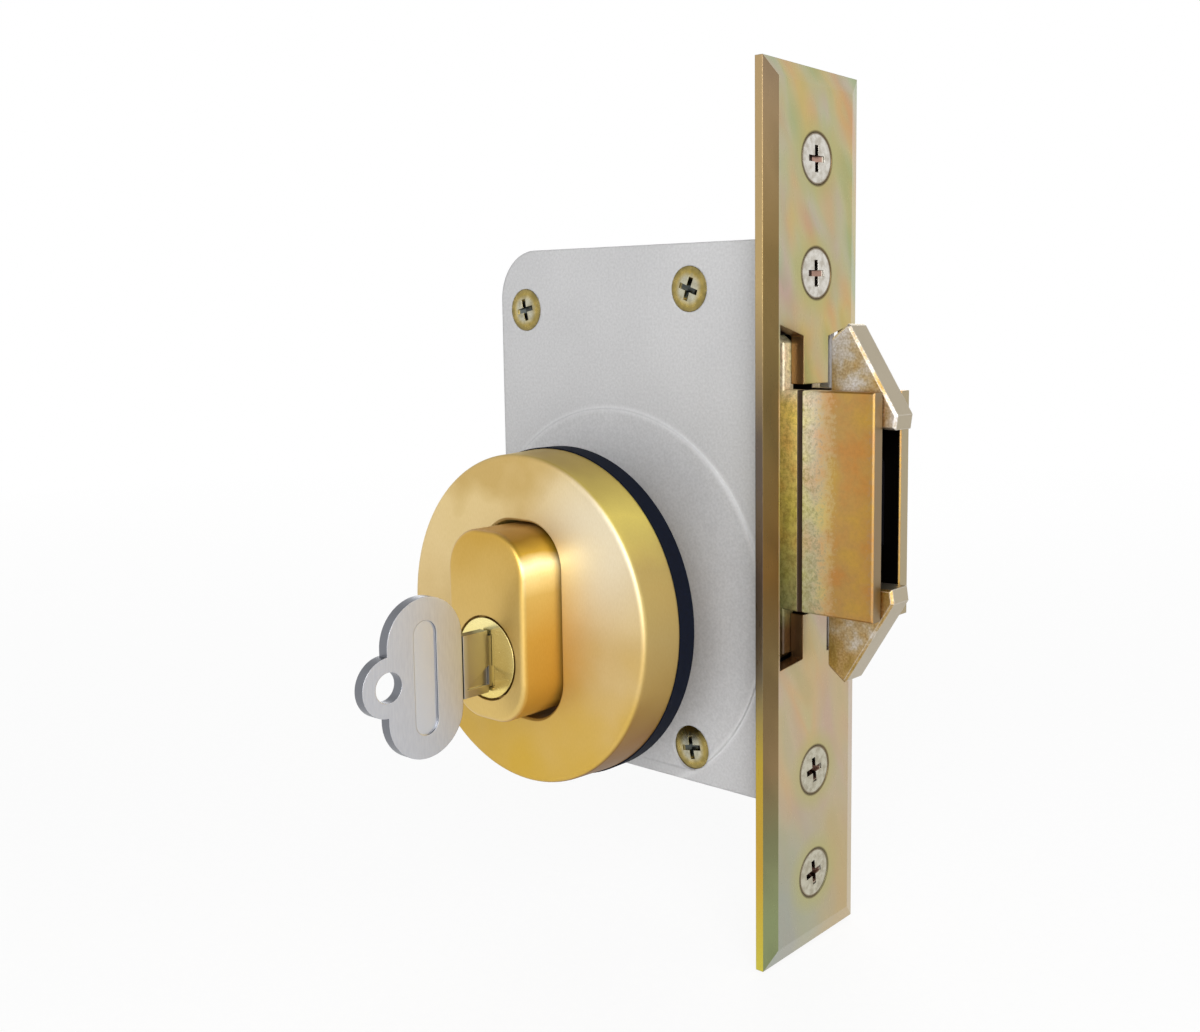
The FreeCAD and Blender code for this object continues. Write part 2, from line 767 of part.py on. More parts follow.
def oval(y0, y1):
    """The cylinder's outside shape between two planes."""
    return rounded_y(key_x, cylinder_z, cylinder_w, cylinder_h, cylinder_corner_r, y0, y1)


def make_cylinder_body():
    """Oval body with the plug's bore and five pin chambers."""
    face = -cylinder_front
    body = oval(face, pad_y)

    def rim(edge):
        return all(abs(v.Point.y - face) < 0.01 for v in edge.Vertexes)

    body = body.makeFillet(cylinder_edge, [edge for edge in body.Edges if rim(edge)])
    ledge = face + plug_recess + plug_flange_t
    tools = [rod_y(key_x, plug_z, plug_r + run, face - 1, pad_y + 1),
             rod_y(key_x, plug_z, plug_flange_r + plug_groove, face - 1, ledge + run),
             rod_y(key_x, plug_z, plug_r + clip_rim + slide, clip_y - slide, pad_y + 1)]
    for y in pin_places():
        tools.append(Part.makeCylinder(pin_r + run, cylinder_top + 1 - plug_z, V(key_x, y, plug_z)))
    for x, z in cylinder_screw_points():
        tools.append(rod_y(x, z, small_r + seat, pad_y - cylinder_grip - 0.3, pad_y + 1))
    return cut(body, tools)


clip_y = pad_y - plug_rear_gap - clip_grip - clip_t


def blade_profile(grow, y0, y1):
    """Cross-section of the key's blade, drawn out along Y and grown by a clearance."""
    half = blade_t / 2 + grow
    low = blade_low - grow
    high = blade_top + grow
    slab = box(key_x - half, key_x + half, y0, y1, low, high)
    grooves = []
    for side, z, w in ((-1, blade_low + ward_up, ward_w), (1, blade_low + wide_ward_up, wide_ward_w)):
        grooves.append(box(key_x + side * (half - ward_d), key_x + side * (half + 1), y0 - 1, y1 + 1,
                           z - w / 2 + grow, z + w / 2 - grow))
    return slab.cut(Part.makeCompound(grooves))


def make_plug():
    """Plug with the keyway, pin holes, front flange, clip groove and the tail's socket."""
    face = -cylinder_front + plug_recess
    rear = pad_y - plug_rear_gap
    body = join([rod_y(key_x, plug_z, plug_r, face, rear),
                 rod_y(key_x, plug_z, plug_flange_r, face, face + plug_flange_t)])
    ring = cut(rod_y(key_x, plug_z, plug_r + 1, clip_y, clip_y + clip_t),
               [rod_y(key_x, plug_z, plug_r - clip_grip, clip_y - 1, clip_y + clip_t + 1)])
    tip = pin_places()[-1] + blade_past_pins + slide
    tools = [ring, blade_profile(slide / 2, face - 1, tip)]
    for y in pin_places():
        tools.append(Part.makeCylinder(pin_r + run, plug_r + 1, V(key_x, y, plug_z + 1)))
    tools.append(rod_y(key_x, plug_z, tail_r, rear - 2.6, rear + 1))
    mouth = blade_t / 2 + keyway_mouth
    tools.append(box(key_x - mouth, key_x + mouth, face - 1, face + keyway_mouth_d, blade_low - slide,
                     blade_top + slide))
    return cut(body, tools)


def make_clip():
    """Open ring that keeps the plug in the cylinder."""
    outer = plug_r + clip_rim
    inner = plug_r - clip_grip + 0.02
    ring = cut(rod_y(key_x, plug_z, outer, clip_y + 0.05, clip_y + clip_t - 0.05),
               [rod_y(key_x, plug_z, inner, clip_y - 1, clip_y + clip_t + 1)])
    mouth = [(key_x, plug_z), (key_x - outer, plug_z - 2 * outer), (key_x + outer, plug_z - 2 * outer)]
    return ring.cut(prism_y(mouth, clip_y - 1, clip_y + clip_t + 1))


def make_tail():
    """Round tail from the plug's socket through the cover to the tail gear."""
    rear = pad_y - plug_rear_gap
    return rod_y(key_x, plug_z, tail_r, rear - 2.5, -inner_y + slide + drive_gear_t)


def make_key_pins():
    """Pins between the key's cuts and the shear line, pointed below."""
    pins = []
    for i, y in enumerate(pin_places()):
        low = cut_height(i) + 0.1
        point = 0.7
        shank = Part.makeCylinder(pin_r, shear_z - 0.06 - low - point, V(key_x, y, low + point))
        cone = Part.makeCone(pin_r * 0.5, pin_r, point, V(key_x, y, low))
        pins.append(join([cone, shank]))
    trim = rod_y(key_x, plug_z, plug_r, -cylinder_front, pad_y)
    return [pin.common(trim) for pin in pins]


def make_driver_pins():
    """Pins above the shear line."""
    pins = []
    bore = rod_y(key_x, plug_z, plug_r + 2 * run, -cylinder_front, pad_y)
    for y in pin_places():
        pin = Part.makeCylinder(pin_r, driver_len + 1.0, V(key_x, y, shear_z - 1.0))
        pins.append(pin.cut(bore))
    return pins


def make_caps():
    """Plugs that close the pin chambers flush with the cylinder's top."""
    shape = oval(-cylinder_front, pad_y)
    return [Part.makeCylinder(pin_r + run, cap_len + 0.5, V(key_x, y, cylinder_top - cap_len)).common(shape)
            for y in pin_places()]


def make_pin_springs():
    """Hidden springs over the driver pins, as plain tubes with the coils' outside size."""
    springs = []
    z0 = shear_z + driver_len + 0.05
    length = cylinder_top - cap_len - 0.05 - z0
    for y in pin_places():
        tube = Part.makeCylinder(spring_r, length, V(key_x, y, z0))
        bore = Part.makeCylinder(spring_r - spring_wall, length + 2, V(key_x, y, z0 - 1))
        springs.append(tube.cut(bore))
    return springs


# The key
def make_key():
    """Key with a stepped blade, a stop and a bow of two lobes and a ring."""
    face = -cylinder_front + plug_recess + keyway_mouth_d
    tip = pin_places()[-1] + blade_past_pins
    bow_y = -cylinder_front - bow_out
    blade = blade_profile(0, face - 1.0, tip)
    level = pin_pitch - cut_ahead - cut_step
    tools = []
    for i, y in enumerate(pin_places()):
        end = y + level if i < pin_count - 1 else tip + 1
        start = y - cut_ahead
        z = cut_height(i)
        step = cut_step if i else first_cut
        ramp = [(start - step, z + step), (start, z), (end, z), (end, blade_top + 1),
                (start - step, blade_top + 1)]
        tools.append(prism_x(ramp, key_x - blade_t, key_x + blade_t))
    nose = [(tip - 2.4, blade_low - 0.1), (tip + 0.1, blade_low - 0.1), (tip + 0.1, blade_low + 2.4)]
    tools.append(prism_x(nose, key_x - blade_t, key_x + blade_t))
    blade = blade.cut(Part.makeCompound(tools))
    x0 = key_x - blade_t / 2
    x1 = key_x + blade_t / 2
    middle_z = blade_low + blade_h / 2
    stop_y = -cylinder_front - 0.4
    neck = box(x0, x1, stop_y - neck_len, stop_y, middle_z - neck_h / 2, middle_z + neck_h / 2)
    link = box(x0, x1, stop_y - 0.5, face, blade_low, blade_top)
    bow = [neck, link, box(x0, x1, bow_y - bow_lobe_r, bow_y + bow_lobe_r, middle_z - bow_lobe_dz,
                           middle_z + bow_lobe_dz)]
    for side in (-1, 1):
        bow.append(rod_x(bow_y, middle_z + side * bow_lobe_dz, bow_lobe_r, x0, x1))
    bow.append(rod_x(bow_y - ring_out, middle_z, ring_r, x0, x1))
    body = join([blade] + bow)
    relief = [rod_x(bow_y - ring_out, middle_z, ring_hole_r, x0 - 1, x1 + 1)]
    low = blade_low + wide_ward_up - wide_ward_w / 2
    runout = [(stop_y - neck_len + 0.6, low), (stop_y + 0.1, low), (stop_y + 0.1, low + wide_ward_w)]
    relief.append(prism_x(runout, x1 - ward_d, x1 + 1))
    for side in (-1, 1):
        outer = key_x + side * blade_t / 2
        inner = outer - side * bow_panel_d
        panel_r = bow_panel_w / 2
        reach = bow_panel_h / 2 - panel_r
        panel = [box(inner, outer + side, bow_y - panel_r, bow_y + panel_r, middle_z - reach,
                     middle_z + reach)]
        for end in (-1, 1):
            panel.append(rod_x(bow_y, middle_z + end * reach, panel_r, inner, outer + side))
        relief.append(join(panel))
    return cut(body, relief)


# The escutcheon
def make_escutcheon():
    """Thick disc with a rounded front edge and the cylinder's slot."""
    back = -escutcheon_front + escutcheon_t
    disc = Part.makeCone(escutcheon_r, escutcheon_r - escutcheon_taper, escutcheon_t,
                         V(key_x, back, escutcheon_z), V(0, -1, 0))
    rim = [edge for edge in disc.Edges
           if abs(edge.CenterOfMass.y + escutcheon_front) < 0.01 and len(edge.Vertexes) == 1]
    disc = disc.makeFillet(escutcheon_edge, rim)
    slot = rounded_y(key_x, escutcheon_z, cylinder_w + 2 * slot_side_gap, cylinder_h + 2 * slot_end_gap,
                     cylinder_corner_r + slot_side_gap, -escutcheon_front - 1, back + 1)
    tools = [slot]
    for x, z in post_points():
        tools.append(rod_y(x, z, small_r + seat, back - escutcheon_grip - 0.3, back + 1))
    disc = cut(disc, tools)
    lip = [edge for edge in disc.Edges
           if all(abs(v.Point.y + escutcheon_front) < 0.01 for v in edge.Vertexes)
           and edge.BoundBox.XLength < cylinder_w + 4 and edge.BoundBox.ZLength < cylinder_h]
    return disc.makeChamfer(0.4, lip)


def make_gasket():
    """Flat ring behind the escutcheon, a little wider than it."""
    back = -escutcheon_front + escutcheon_t
    return cut(rod_y(key_x, escutcheon_z, gasket_r, back, back + gasket_t),
               [rod_y(key_x, escutcheon_z, gasket_in_r, back - 1, back + gasket_t + 1)])


def make_posts():
    """Tubular posts between the case cover and the escutcheon."""
    back = -escutcheon_front + escutcheon_t
    return [cut(rod_y(x, z, post_r, back, pad_y), [rod_y(x, z, small_r + slide, back - 1, pad_y + 1)])
            for x, z in post_points()]


def make_nodes():
    """Every node's name with its solids."""
    post_screw_len = escutcheon_front - escutcheon_t - inner_y + escutcheon_grip
    return {
        "faceplate": make_faceplate(),
        "door_screws": plate_screws(door_screw_z),
        "faceplate_screws": plate_screws(case_screw_z),
        "case_body": make_case_body(),
        "case_cover": make_case_cover(),
        "case_screws": [place(screw(case_head_r, case_head_h, case_screw_r, case_screw_len, 0.35),
                              V(x, -case_y + seat, z), V(0, -1, 0), 12 + 29 * i)
                        for i, (x, z) in enumerate(pillars)],
        "case_lugs": make_lugs(),
        "bolt_guides": make_guides(),
        "guide_posts": make_guide_posts(),
        "shaft_bushes": make_bushes(),
        "bolt_near_wall": make_bolt_wall(-1),
        "bolt_far_wall": make_bolt_wall(1),
        "bolt_spacers": make_spacers(),
        "claw_pins": make_claw_pins(),
        "top_claw": make_claw(1),
        "bottom_claw": make_claw(-1),
        "claw_bar": make_claw_bar(),
        "drive_shaft": make_drive_shaft(),
        "drive_gear": make_drive_gear(),
        "bar_pinion": make_bar_pinion(),
        "bolt_pinion": make_bolt_pinion(),
        "shaft_sleeves": make_sleeves(),
        "tail_gear": make_tail_gear(),
        "plug_tail": make_tail(),
        "cylinder_body": make_cylinder_body(),
        "cylinder_plug": make_plug(),
        "plug_clip": make_clip(),
        "key_pins": make_key_pins(),
        "driver_pins": make_driver_pins(),
        "pin_springs": make_pin_springs(),
        "chamber_caps": make_caps(),
        "cylinder_screws": screw_places_y(cylinder_screw_points(), -inner_y - seat, small_head_r,
                                          small_head_h, small_r, cylinder_grip + case_wall + pad_h, 1,
                                          screw),
        "escutcheon": make_escutcheon(),
        "escutcheon_gasket": make_gasket(),
        "escutcheon_posts": make_posts(),
        "escutcheon_screws": screw_places_y(post_points(), -inner_y - seat, small_head_r, small_head_h,
                                            small_r, post_screw_len, 1, screw),
        "key": make_key(),
    }


os.makedirs("parts", exist_ok=True)
for node_name, node_shapes in make_nodes().items():
    save(node_name, node_shapes)
turns = math.pi * tail_gear_teeth / drive_gear_teeth * 2
throw = turns * bolt_pinion_r
bar_travel = turns * bar_pinion_r
fold = math.degrees((bar_travel - throw) / (claw_teeth * rack_module / 2))
print("shaft at", round(shaft_x, 3), round(shaft_z, 3), "throw", round(throw, 3),
      "bar travel", round(bar_travel, 3), "claw fold", round(fold, 3))
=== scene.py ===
# %% [markdown]
# # A mortice lock with a claw bolt
# The lock is a steel case that sits in a door, a long faceplate on the door's edge, a bolt with two
# claws that hook behind a keep, and a brass escutcheon with a key cylinder on the door's face. Its
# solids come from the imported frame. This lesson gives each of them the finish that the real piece
# has, lights the lock plainly and looks at it from where the photograph was taken. The frame is
# loaded first, because every finish below is worked out in the frame's own metres. In it the bolt
# is thrown along x, the key points towards smaller y, and z is up.

# %% Load the frame
import json
import math

import bpy
from mathutils import Matrix, Vector


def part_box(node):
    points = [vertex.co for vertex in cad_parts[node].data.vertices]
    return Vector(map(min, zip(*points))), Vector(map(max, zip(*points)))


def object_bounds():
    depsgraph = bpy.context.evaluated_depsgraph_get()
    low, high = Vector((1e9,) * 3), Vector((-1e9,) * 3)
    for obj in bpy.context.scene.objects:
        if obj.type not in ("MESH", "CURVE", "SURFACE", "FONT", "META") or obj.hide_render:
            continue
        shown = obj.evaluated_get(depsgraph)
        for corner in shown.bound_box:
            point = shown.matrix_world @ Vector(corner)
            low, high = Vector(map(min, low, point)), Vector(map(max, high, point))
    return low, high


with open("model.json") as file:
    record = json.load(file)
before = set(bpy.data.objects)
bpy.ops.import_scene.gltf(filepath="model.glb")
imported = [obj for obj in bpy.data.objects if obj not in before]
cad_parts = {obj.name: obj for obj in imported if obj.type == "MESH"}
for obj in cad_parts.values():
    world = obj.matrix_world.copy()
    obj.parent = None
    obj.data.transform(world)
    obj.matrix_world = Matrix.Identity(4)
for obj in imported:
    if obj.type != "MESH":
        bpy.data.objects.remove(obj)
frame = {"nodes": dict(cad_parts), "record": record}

scene = bpy.context.scene
nodes = frame["nodes"]
cad_box = [list(corner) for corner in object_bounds()]
print("frame box in mm:", [[round(v * 1000, 1) for v in corner] for corner in cad_box])

# %% [markdown]
# ## Colour, scale and one node at a time
# Colours are written as sRGB hex, as a colour picker gives them, but shaders work in linear light,
# so one function turns one into the other. The frame is in metres, so a length is written as so
# many times mm, and a second function turns the size of one feature into a texture's scale, which
# is "how many per metre". The last one adds a node: what is set on an input may be a number, a hex
# colour, or another node to link in. Some nodes keep several sockets of one name, one for each
# type of value, and enable those in use, so sockets are looked up among the enabled ones.
# With just that, every recipe below reads from top to bottom like a list of ingredients.

# %% Colour, scale and node helpers
mm = 0.001


def linear(hex_colour):
    """An sRGB hex colour such as "#C8A050" as linear red, green, blue and alpha."""
    values = [int(hex_colour[i:i + 2], 16) / 255 for i in (1, 3, 5)]
    return [v / 12.92 if v <= 0.04045 else ((v + 0.055) / 1.055) ** 2.4 for v in values] + [1.0]


def per_metre(millimetres):
    """The texture scale at which one feature is about this many millimetres across."""
    return 1000.0 / millimetres


def enabled(sockets, name=None):
    """The first socket in use, or the first of that name."""
    return next(socket for socket in sockets if socket.enabled and name in (None, socket.name))


def add(tree, kind, inputs=None, stops=None, **settings):
    """Add a node with its settings and links.

    An input goes by its name, or by its number where several share one name. stops are
    (place, hex colour) along a colour ramp.
    """
    node = tree.nodes.new(kind)
    for name, value in settings.items():
        setattr(node, name, value)
    for name, value in (inputs or {}).items():
        socket = enabled(node.inputs, name) if isinstance(name, str) else node.inputs[name]
        if isinstance(value, bpy.types.Node):
            value = enabled(value.outputs)
        if isinstance(value, bpy.types.NodeSocket):
            tree.links.new(value, socket)
        else:
            socket.default_value = linear(value) if isinstance(value, str) else value
    if stops:
        elements = node.color_ramp.elements
        while len(elements) < len(stops):
            elements.new(0.5)
        for element, (place, colour) in zip(elements, stops):
            element.position = place
            element.color = linear(colour)
    return node


print("brass #D8BC78 in linear light:", [round(v, 3) for v in linear("#D8BC78")[:3]])

# %% [markdown]
# Every finish starts with an empty recipe and the same two facts about the spot that is shaded:
# its place on the object and the object's own normal there. Both turn with the object and not with
# the view, so a pattern that goes by them stays on its piece. A Mix node then either lays one
# colour over another, as far as its factor says, or multiplies the two, as a glaze would.

# %% A new finish and two ways to mix
lay_over = {"data_type": "RGBA"}
multiply = {"data_type": "RGBA", "blend_type": "MULTIPLY"}


def new_finish(name):
    """A material with an empty recipe, and the place and the normal that its patterns go by."""
    material = bpy.data.materials.new(name)
    material.use_nodes = True
    tree = material.node_tree
    tree.nodes.clear()
    coordinates = add(tree, "ShaderNodeTexCoord").outputs
    return material, tree, coordinates["Object"], coordinates["Normal"]


print("a grain of 0.5 mm has a scale of", per_metre(0.5))

# %% [markdown]
# ## Brush lines, rounded edges and the last two nodes
# Three things recur on worked metal. A belt or a cutter leaves lines that are fine across and long
# along, which a noise stretched in one direction gives. Real corners are broken by a few tenths of
# a millimetre and catch the light: the Bevel node rounds only the shading there, so it costs no
# geometry. And the same node tells where the edges are, because there the rounded normal and the
# true one part, so that a rubbed polish and a painted highlight can be laid on them.

# %% Brushing, edges and surface
bevel_samples = 4
edge_cosine = 0.96


def brushing(tree, place, across_mm, along_mm, axis, detail=3.0):
    """Noise that is fine across the brushing and long along it (axis is 0, 1 or 2)."""
    scale = [per_metre(across_mm)] * 3
    scale[axis] = per_metre(along_mm)
    stretched = add(tree, "ShaderNodeMapping", {"Vector": place, "Scale": scale})
    return add(tree, "ShaderNodeTexNoise", {"Vector": stretched, "Scale": 1.0, "Detail": detail})


def near_edge(tree, radius_mm):
    """1 on edges, where the normals part by 16 degrees or more, falling to 0 within the radius."""
    rounded = add(tree, "ShaderNodeBevel", {"Radius": radius_mm * mm}, samples=bevel_samples)
    true = add(tree, "ShaderNodeNewGeometry").outputs["Normal"]
    match = add(tree, "ShaderNodeVectorMath", {0: rounded, 1: true}, operation="DOT_PRODUCT")
    return add(tree, "ShaderNodeMapRange", {"Value": match, "From Min": 1.0,
                                            "From Max": edge_cosine})


def surface(tree, colour, metallic, roughness, height, depth_mm, edge_mm):
    """Rounded edges, a bump of a real depth, the shader and the output."""
    rounded = add(tree, "ShaderNodeBevel", {"Radius": edge_mm * mm}, samples=bevel_samples)
    bump = add(tree, "ShaderNodeBump", {"Distance": depth_mm * mm, "Height": height,
                                        "Normal": rounded})
    shader = add(tree, "ShaderNodeBsdfPrincipled", {"Base Color": colour, "Metallic": metallic,
                                                    "Roughness": roughness, "Normal": bump})
    add(tree, "ShaderNodeOutputMaterial", {"Surface": shader})
    print("finish ready:", len(tree.nodes), "nodes, edges rounded by", edge_mm, "mm")


# %% [markdown]
# ## Blasted zinc plate on the case
# The case is pressed steel sheet, zinc plated over a blasted surface and then dulled by a clear
# passivate. To the eye that is a flat, even, light grey that mirrors nothing, so it is only a tenth
# Metallic and quite rough. The plating's tone drifts by a few percent over a few centimetres, and
# the grit that blasted it left pits near 0.1 mm, drawn here at 0.5 mm so that they show.

# %% Case plating
case_finish, tree, place, _ = new_finish("blasted zinc plate")
drift = add(tree, "ShaderNodeTexNoise", {"Vector": place, "Scale": per_metre(26.0), "Detail": 2.0})
tone = add(tree, "ShaderNodeValToRGB", {"Fac": drift},
           stops=[(0.35, "#C2C2C3"), (0.65, "#C8C8C9")])
grit = add(tree, "ShaderNodeTexNoise", {"Vector": place, "Scale": per_metre(0.5), "Detail": 3.0})
fleck = add(tree, "ShaderNodeValToRGB", {"Fac": grit}, stops=[(0.3, "#ECECEC"), (0.7, "#FFFFFF")])
blasted = add(tree, "ShaderNodeMix", {"Factor": 1.0, "A": tone, "B": fleck}, **multiply)
print("case so far:", len(tree.nodes), "nodes")

# %% [markdown]
# The edge of the cover's round pad catches the light, so a paler arc is painted there as a
# highlight. The pad has the escutcheon's middle, so the arc is drawn where the distance from there,
# seen from the key's side, comes near the pad's radius. The place across the case keeps it on the
# cover alone.

# %% Arc on the cover
disc_low, disc_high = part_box("escutcheon")
disc_middle = (disc_low + disc_high) / 2
pad_middle = (disc_middle.x, 0.0, disc_middle.z)
pad_radius = 38.0 * mm
cover_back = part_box("case_cover")[1].y
flattened = add(tree, "ShaderNodeVectorMath", {0: place, 1: (1.0, 0.0, 1.0)}, operation="MULTIPLY")
radius = add(tree, "ShaderNodeVectorMath", {0: flattened, 1: pad_middle}, operation="DISTANCE")
off = add(tree, "ShaderNodeMath", {0: radius, 1: pad_radius}, operation="SUBTRACT")
off = add(tree, "ShaderNodeMath", {0: off}, operation="ABSOLUTE")
# painted highlight: a paler arc along the pad's edge
brightened = add(tree, "ShaderNodeMapRange", {"Value": off, "From Min": 1.0 * mm, "From Max": 0.2 * mm,
                                          "To Max": 0.3})
depth = add(tree, "ShaderNodeSeparateXYZ", {"Vector": place}).outputs["Y"]
on_cover = add(tree, "ShaderNodeMath", {0: depth, 1: cover_back - 1.0 * mm},
               operation="LESS_THAN")
arc = add(tree, "ShaderNodeMath", {0: brightened, 1: on_cover}, operation="MULTIPLY")
colour = add(tree, "ShaderNodeMix", {"Factor": arc, "A": blasted, "B": "#E6E6E7"}, **lay_over)
rough = add(tree, "ShaderNodeMapRange", {"Value": grit, "To Min": 0.5, "To Max": 0.6})
surface(tree, colour, 0.1, rough, grit, 0.004, 0.7)

# %% [markdown]
# ## Yellow passivated zinc on the faceplate
# The faceplate is zinc plated and then dipped in a chromate bath. Its film is thinner than a
# wavelength of light, so it shows interference colours: straw and tan on the whole, with green and
# pink clouds. A thin-film shader would shift with the view and can't be exported, so a soft noise
# picks from a ramp of the film's own colours instead, and a second one multiplies pink and green
# fringes onto it. The plate hung at a slant while the bath ran off, so the clouds are about 8 mm
# wide and more than twice as long, and lean over. The film is thicker along the plate's middle.

# %% Faceplate film
plate_finish, tree, place, normal = new_finish("yellow passivated zinc sheet")
at = add(tree, "ShaderNodeSeparateXYZ", {"Vector": place}).outputs
facing = add(tree, "ShaderNodeSeparateXYZ", {"Vector": normal}).outputs
cloud_mm = 8.0
stretch = 2.4
lean = 0.4
slanted = add(tree, "ShaderNodeMapping", {"Vector": place, "Rotation": (lean, 0.0, 0.0),
                                          "Scale": (1.0, 1.0, stretch)}, vector_type="TEXTURE")
cloud = add(tree, "ShaderNodeTexNoise", {"Vector": slanted, "Scale": per_metre(cloud_mm),
                                         "Detail": 2.0, "Roughness": 0.4, "Distortion": 0.4})
across = add(tree, "ShaderNodeMath", {0: at["Y"]}, operation="ABSOLUTE")
outward = add(tree, "ShaderNodeMapRange", {"Value": across, "From Max": 12.0 * mm, "To Min": 0.06,
                                           "To Max": -0.06})
thick = add(tree, "ShaderNodeMath", {0: cloud, 1: outward}, operation="ADD")
film = add(tree, "ShaderNodeValToRGB", {"Fac": thick},
           stops=[(0.24, "#A6B090"), (0.36, "#B6AE98"), (0.44, "#B4AE8C"), (0.54, "#BDAC82"),
                  (0.64, "#C4AA74"), (0.76, "#B8B27E")])
wisp = add(tree, "ShaderNodeTexNoise", {"Vector": slanted, "Scale": per_metre(7.0), "Detail": 1.0,
                                        "Distortion": 0.2})
fringe = add(tree, "ShaderNodeValToRGB", {"Fac": wisp},
             stops=[(0.30, "#FFE8F0"), (0.46, "#FFFAF8"), (0.54, "#FCFFF4"), (0.70, "#E6F6DC")])
film = add(tree, "ShaderNodeMix", {"Factor": 1.0, "A": film, "B": fringe}, **multiply)
print("clouds", cloud_mm, "mm wide and", round(cloud_mm * stretch), "mm long, leaning by",
      round(math.degrees(lean)), "degrees")

# %% [markdown]
# Below the bolt the film turns pinker. At the foot, where the last of the bath ran off, it goes
# from a greenish grey on the key's side to straw on the other, with the wisps of the fringes
# pushing that border to and fro.

# %% Lower half of the faceplate
plate_low, plate_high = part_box("faceplate")
foot_from = -48.0 * mm
foot_full = -70.0 * mm
lower = add(tree, "ShaderNodeMapRange", {"Value": at["Z"], "From Max": -30.0 * mm, "To Max": 0.5})
film = add(tree, "ShaderNodeMix", {"Factor": lower, "A": film, "B": "#C0A68A"}, **lay_over)
sideways = add(tree, "ShaderNodeMapRange", {"Value": at["Y"], "From Min": plate_low.y,
                                            "From Max": plate_high.y, "To Min": -0.2,
                                            "To Max": 0.8})
border = add(tree, "ShaderNodeMath", {0: wisp, 1: 0.4, 2: sideways}, operation="MULTIPLY_ADD")
run_off = add(tree, "ShaderNodeValToRGB", {"Fac": border},
              stops=[(0.2, "#949F9A"), (0.45, "#A0A48E"), (0.75, "#B6A276")])
foot = add(tree, "ShaderNodeMapRange", {"Value": at["Z"], "From Min": foot_from,
                                        "From Max": foot_full, "To Max": 0.75})
film = add(tree, "ShaderNodeMix", {"Factor": foot, "A": film, "B": run_off}, **lay_over)
print("the foot's tones are full", round((foot_full - plate_low.z) / mm, 1), "mm above the end")

# %% [markdown]
# The bath also clung round each screw hole and left a greener ring there. On the hole's very lip a
# dark ring is painted as the shade in the gap round the countersunk head. Both go by the distance
# from the nearest screw. The four screws stand in two pairs, evenly about one height, so folding
# the height there, and again at a pair's middle, and again at half the pair's spacing, lays all
# four on one spot, and one distance is enough.

# %% Rings round the screw holes
head_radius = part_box("door_screws")[1].y
screw_heights = []
for pair in ("door_screws", "faceplate_screws"):
    low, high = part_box(pair)
    screw_heights += [low.z + head_radius, high.z - head_radius]
bottom, top, third, second = screw_heights
screw_folds = ((top + bottom) / 2, (top + second - third - bottom) / 4, (top - second) / 2)


def from_screw(tree, place):
    """Distance in metres from the axis of the nearest of the faceplate's four screws."""
    at = add(tree, "ShaderNodeSeparateXYZ", {"Vector": place}).outputs
    height = at["Z"]
    for fold in screw_folds:
        height = add(tree, "ShaderNodeMath", {0: height, 1: fold}, operation="SUBTRACT")
        height = add(tree, "ShaderNodeMath", {0: height}, operation="ABSOLUTE")
    spot = add(tree, "ShaderNodeCombineXYZ", {"Y": at["Y"], "Z": height})
    return add(tree, "ShaderNodeVectorMath", {0: spot}, operation="LENGTH")


off = from_screw(tree, place)
front = add(tree, "ShaderNodeMath", {0: facing["X"], 1: 0.0}, operation="GREATER_THAN")
green_ring = (4.5, 8.5, 0.75, "#AFA96C")
# painted shade: the dark lip stands for the shade in the gap round each countersunk head
countersink_lip_shade = (4.8, 5.1, 0.8, "#4A3820")
for inner_mm, outer_mm, strength, stain_and_shade in (green_ring, countersink_lip_shade):
    ring = add(tree, "ShaderNodeMapRange", {"Value": off, "From Min": outer_mm * mm,
                                            "From Max": inner_mm * mm, "To Max": strength})
    ring = add(tree, "ShaderNodeMath", {0: ring, 1: front}, operation="MULTIPLY")
    film = add(tree, "ShaderNodeMix", {"Factor": ring, "A": film, "B": stain_and_shade}, **lay_over)
print("screws at", [round(height / mm, 1) for height in screw_heights], "mm, folded at",
      [round(fold / mm, 1) for fold in screw_folds])

# %% [markdown]
# The long bevel on the key's side was milled again after plating, and the strip beside it is the
# sheared edge of the sheet. Both are browner, with olive and yellow towards the foot: partly their
# own thinner film and partly painted shade, for faces turned away from the light. The punched
# walls of the slots are painted one dark brown, as the shade inside them. The normal tells these
# faces apart, and the height picks the tone.

# %% Milled bevel and sheared edge
slots_within = plate_high.y - 0.3 * mm
bevel = add(tree, "ShaderNodeMapRange", {"Value": facing["Y"], "From Min": -0.15,
                                         "From Max": -0.25})
height = add(tree, "ShaderNodeMapRange", {"Value": at["Z"], "From Min": plate_low.z,
                                          "From Max": plate_high.z})
# the bevel's browner tones are partly its own film and partly painted shade
mill = add(tree, "ShaderNodeValToRGB", {"Fac": height},
           stops=[(0.06, "#868F66"), (0.15, "#80805C"), (0.23, "#8A7350"), (0.36, "#786440"),
                  (0.45, "#7A5C30"), (0.6, "#72603A"), (0.8, "#7E6840"), (1.0, "#76644E")])
waver = add(tree, "ShaderNodeValToRGB", {"Fac": cloud},
            stops=[(0.35, "#E4E4E4"), (0.65, "#FFFFFF")])
mill = add(tree, "ShaderNodeMix", {"Factor": 1.0, "A": mill, "B": waver}, **multiply)
milled = add(tree, "ShaderNodeMix", {"Factor": bevel, "A": film, "B": mill}, **lay_over)

# the sheared edge's tones are partly its thinner film and partly painted shade
strip = add(tree, "ShaderNodeValToRGB", {"Fac": height},
            stops=[(0.0, "#CCC04A"), (0.12, "#C8A03E"), (0.24, "#B99E3C"), (0.34, "#7C725F"),
                   (0.45, "#5E5454"), (0.60, "#665A4E"), (0.76, "#B89E6C"), (1.0, "#B4996F")])
in_slot = add(tree, "ShaderNodeMath", {0: across, 1: slots_within}, operation="LESS_THAN")
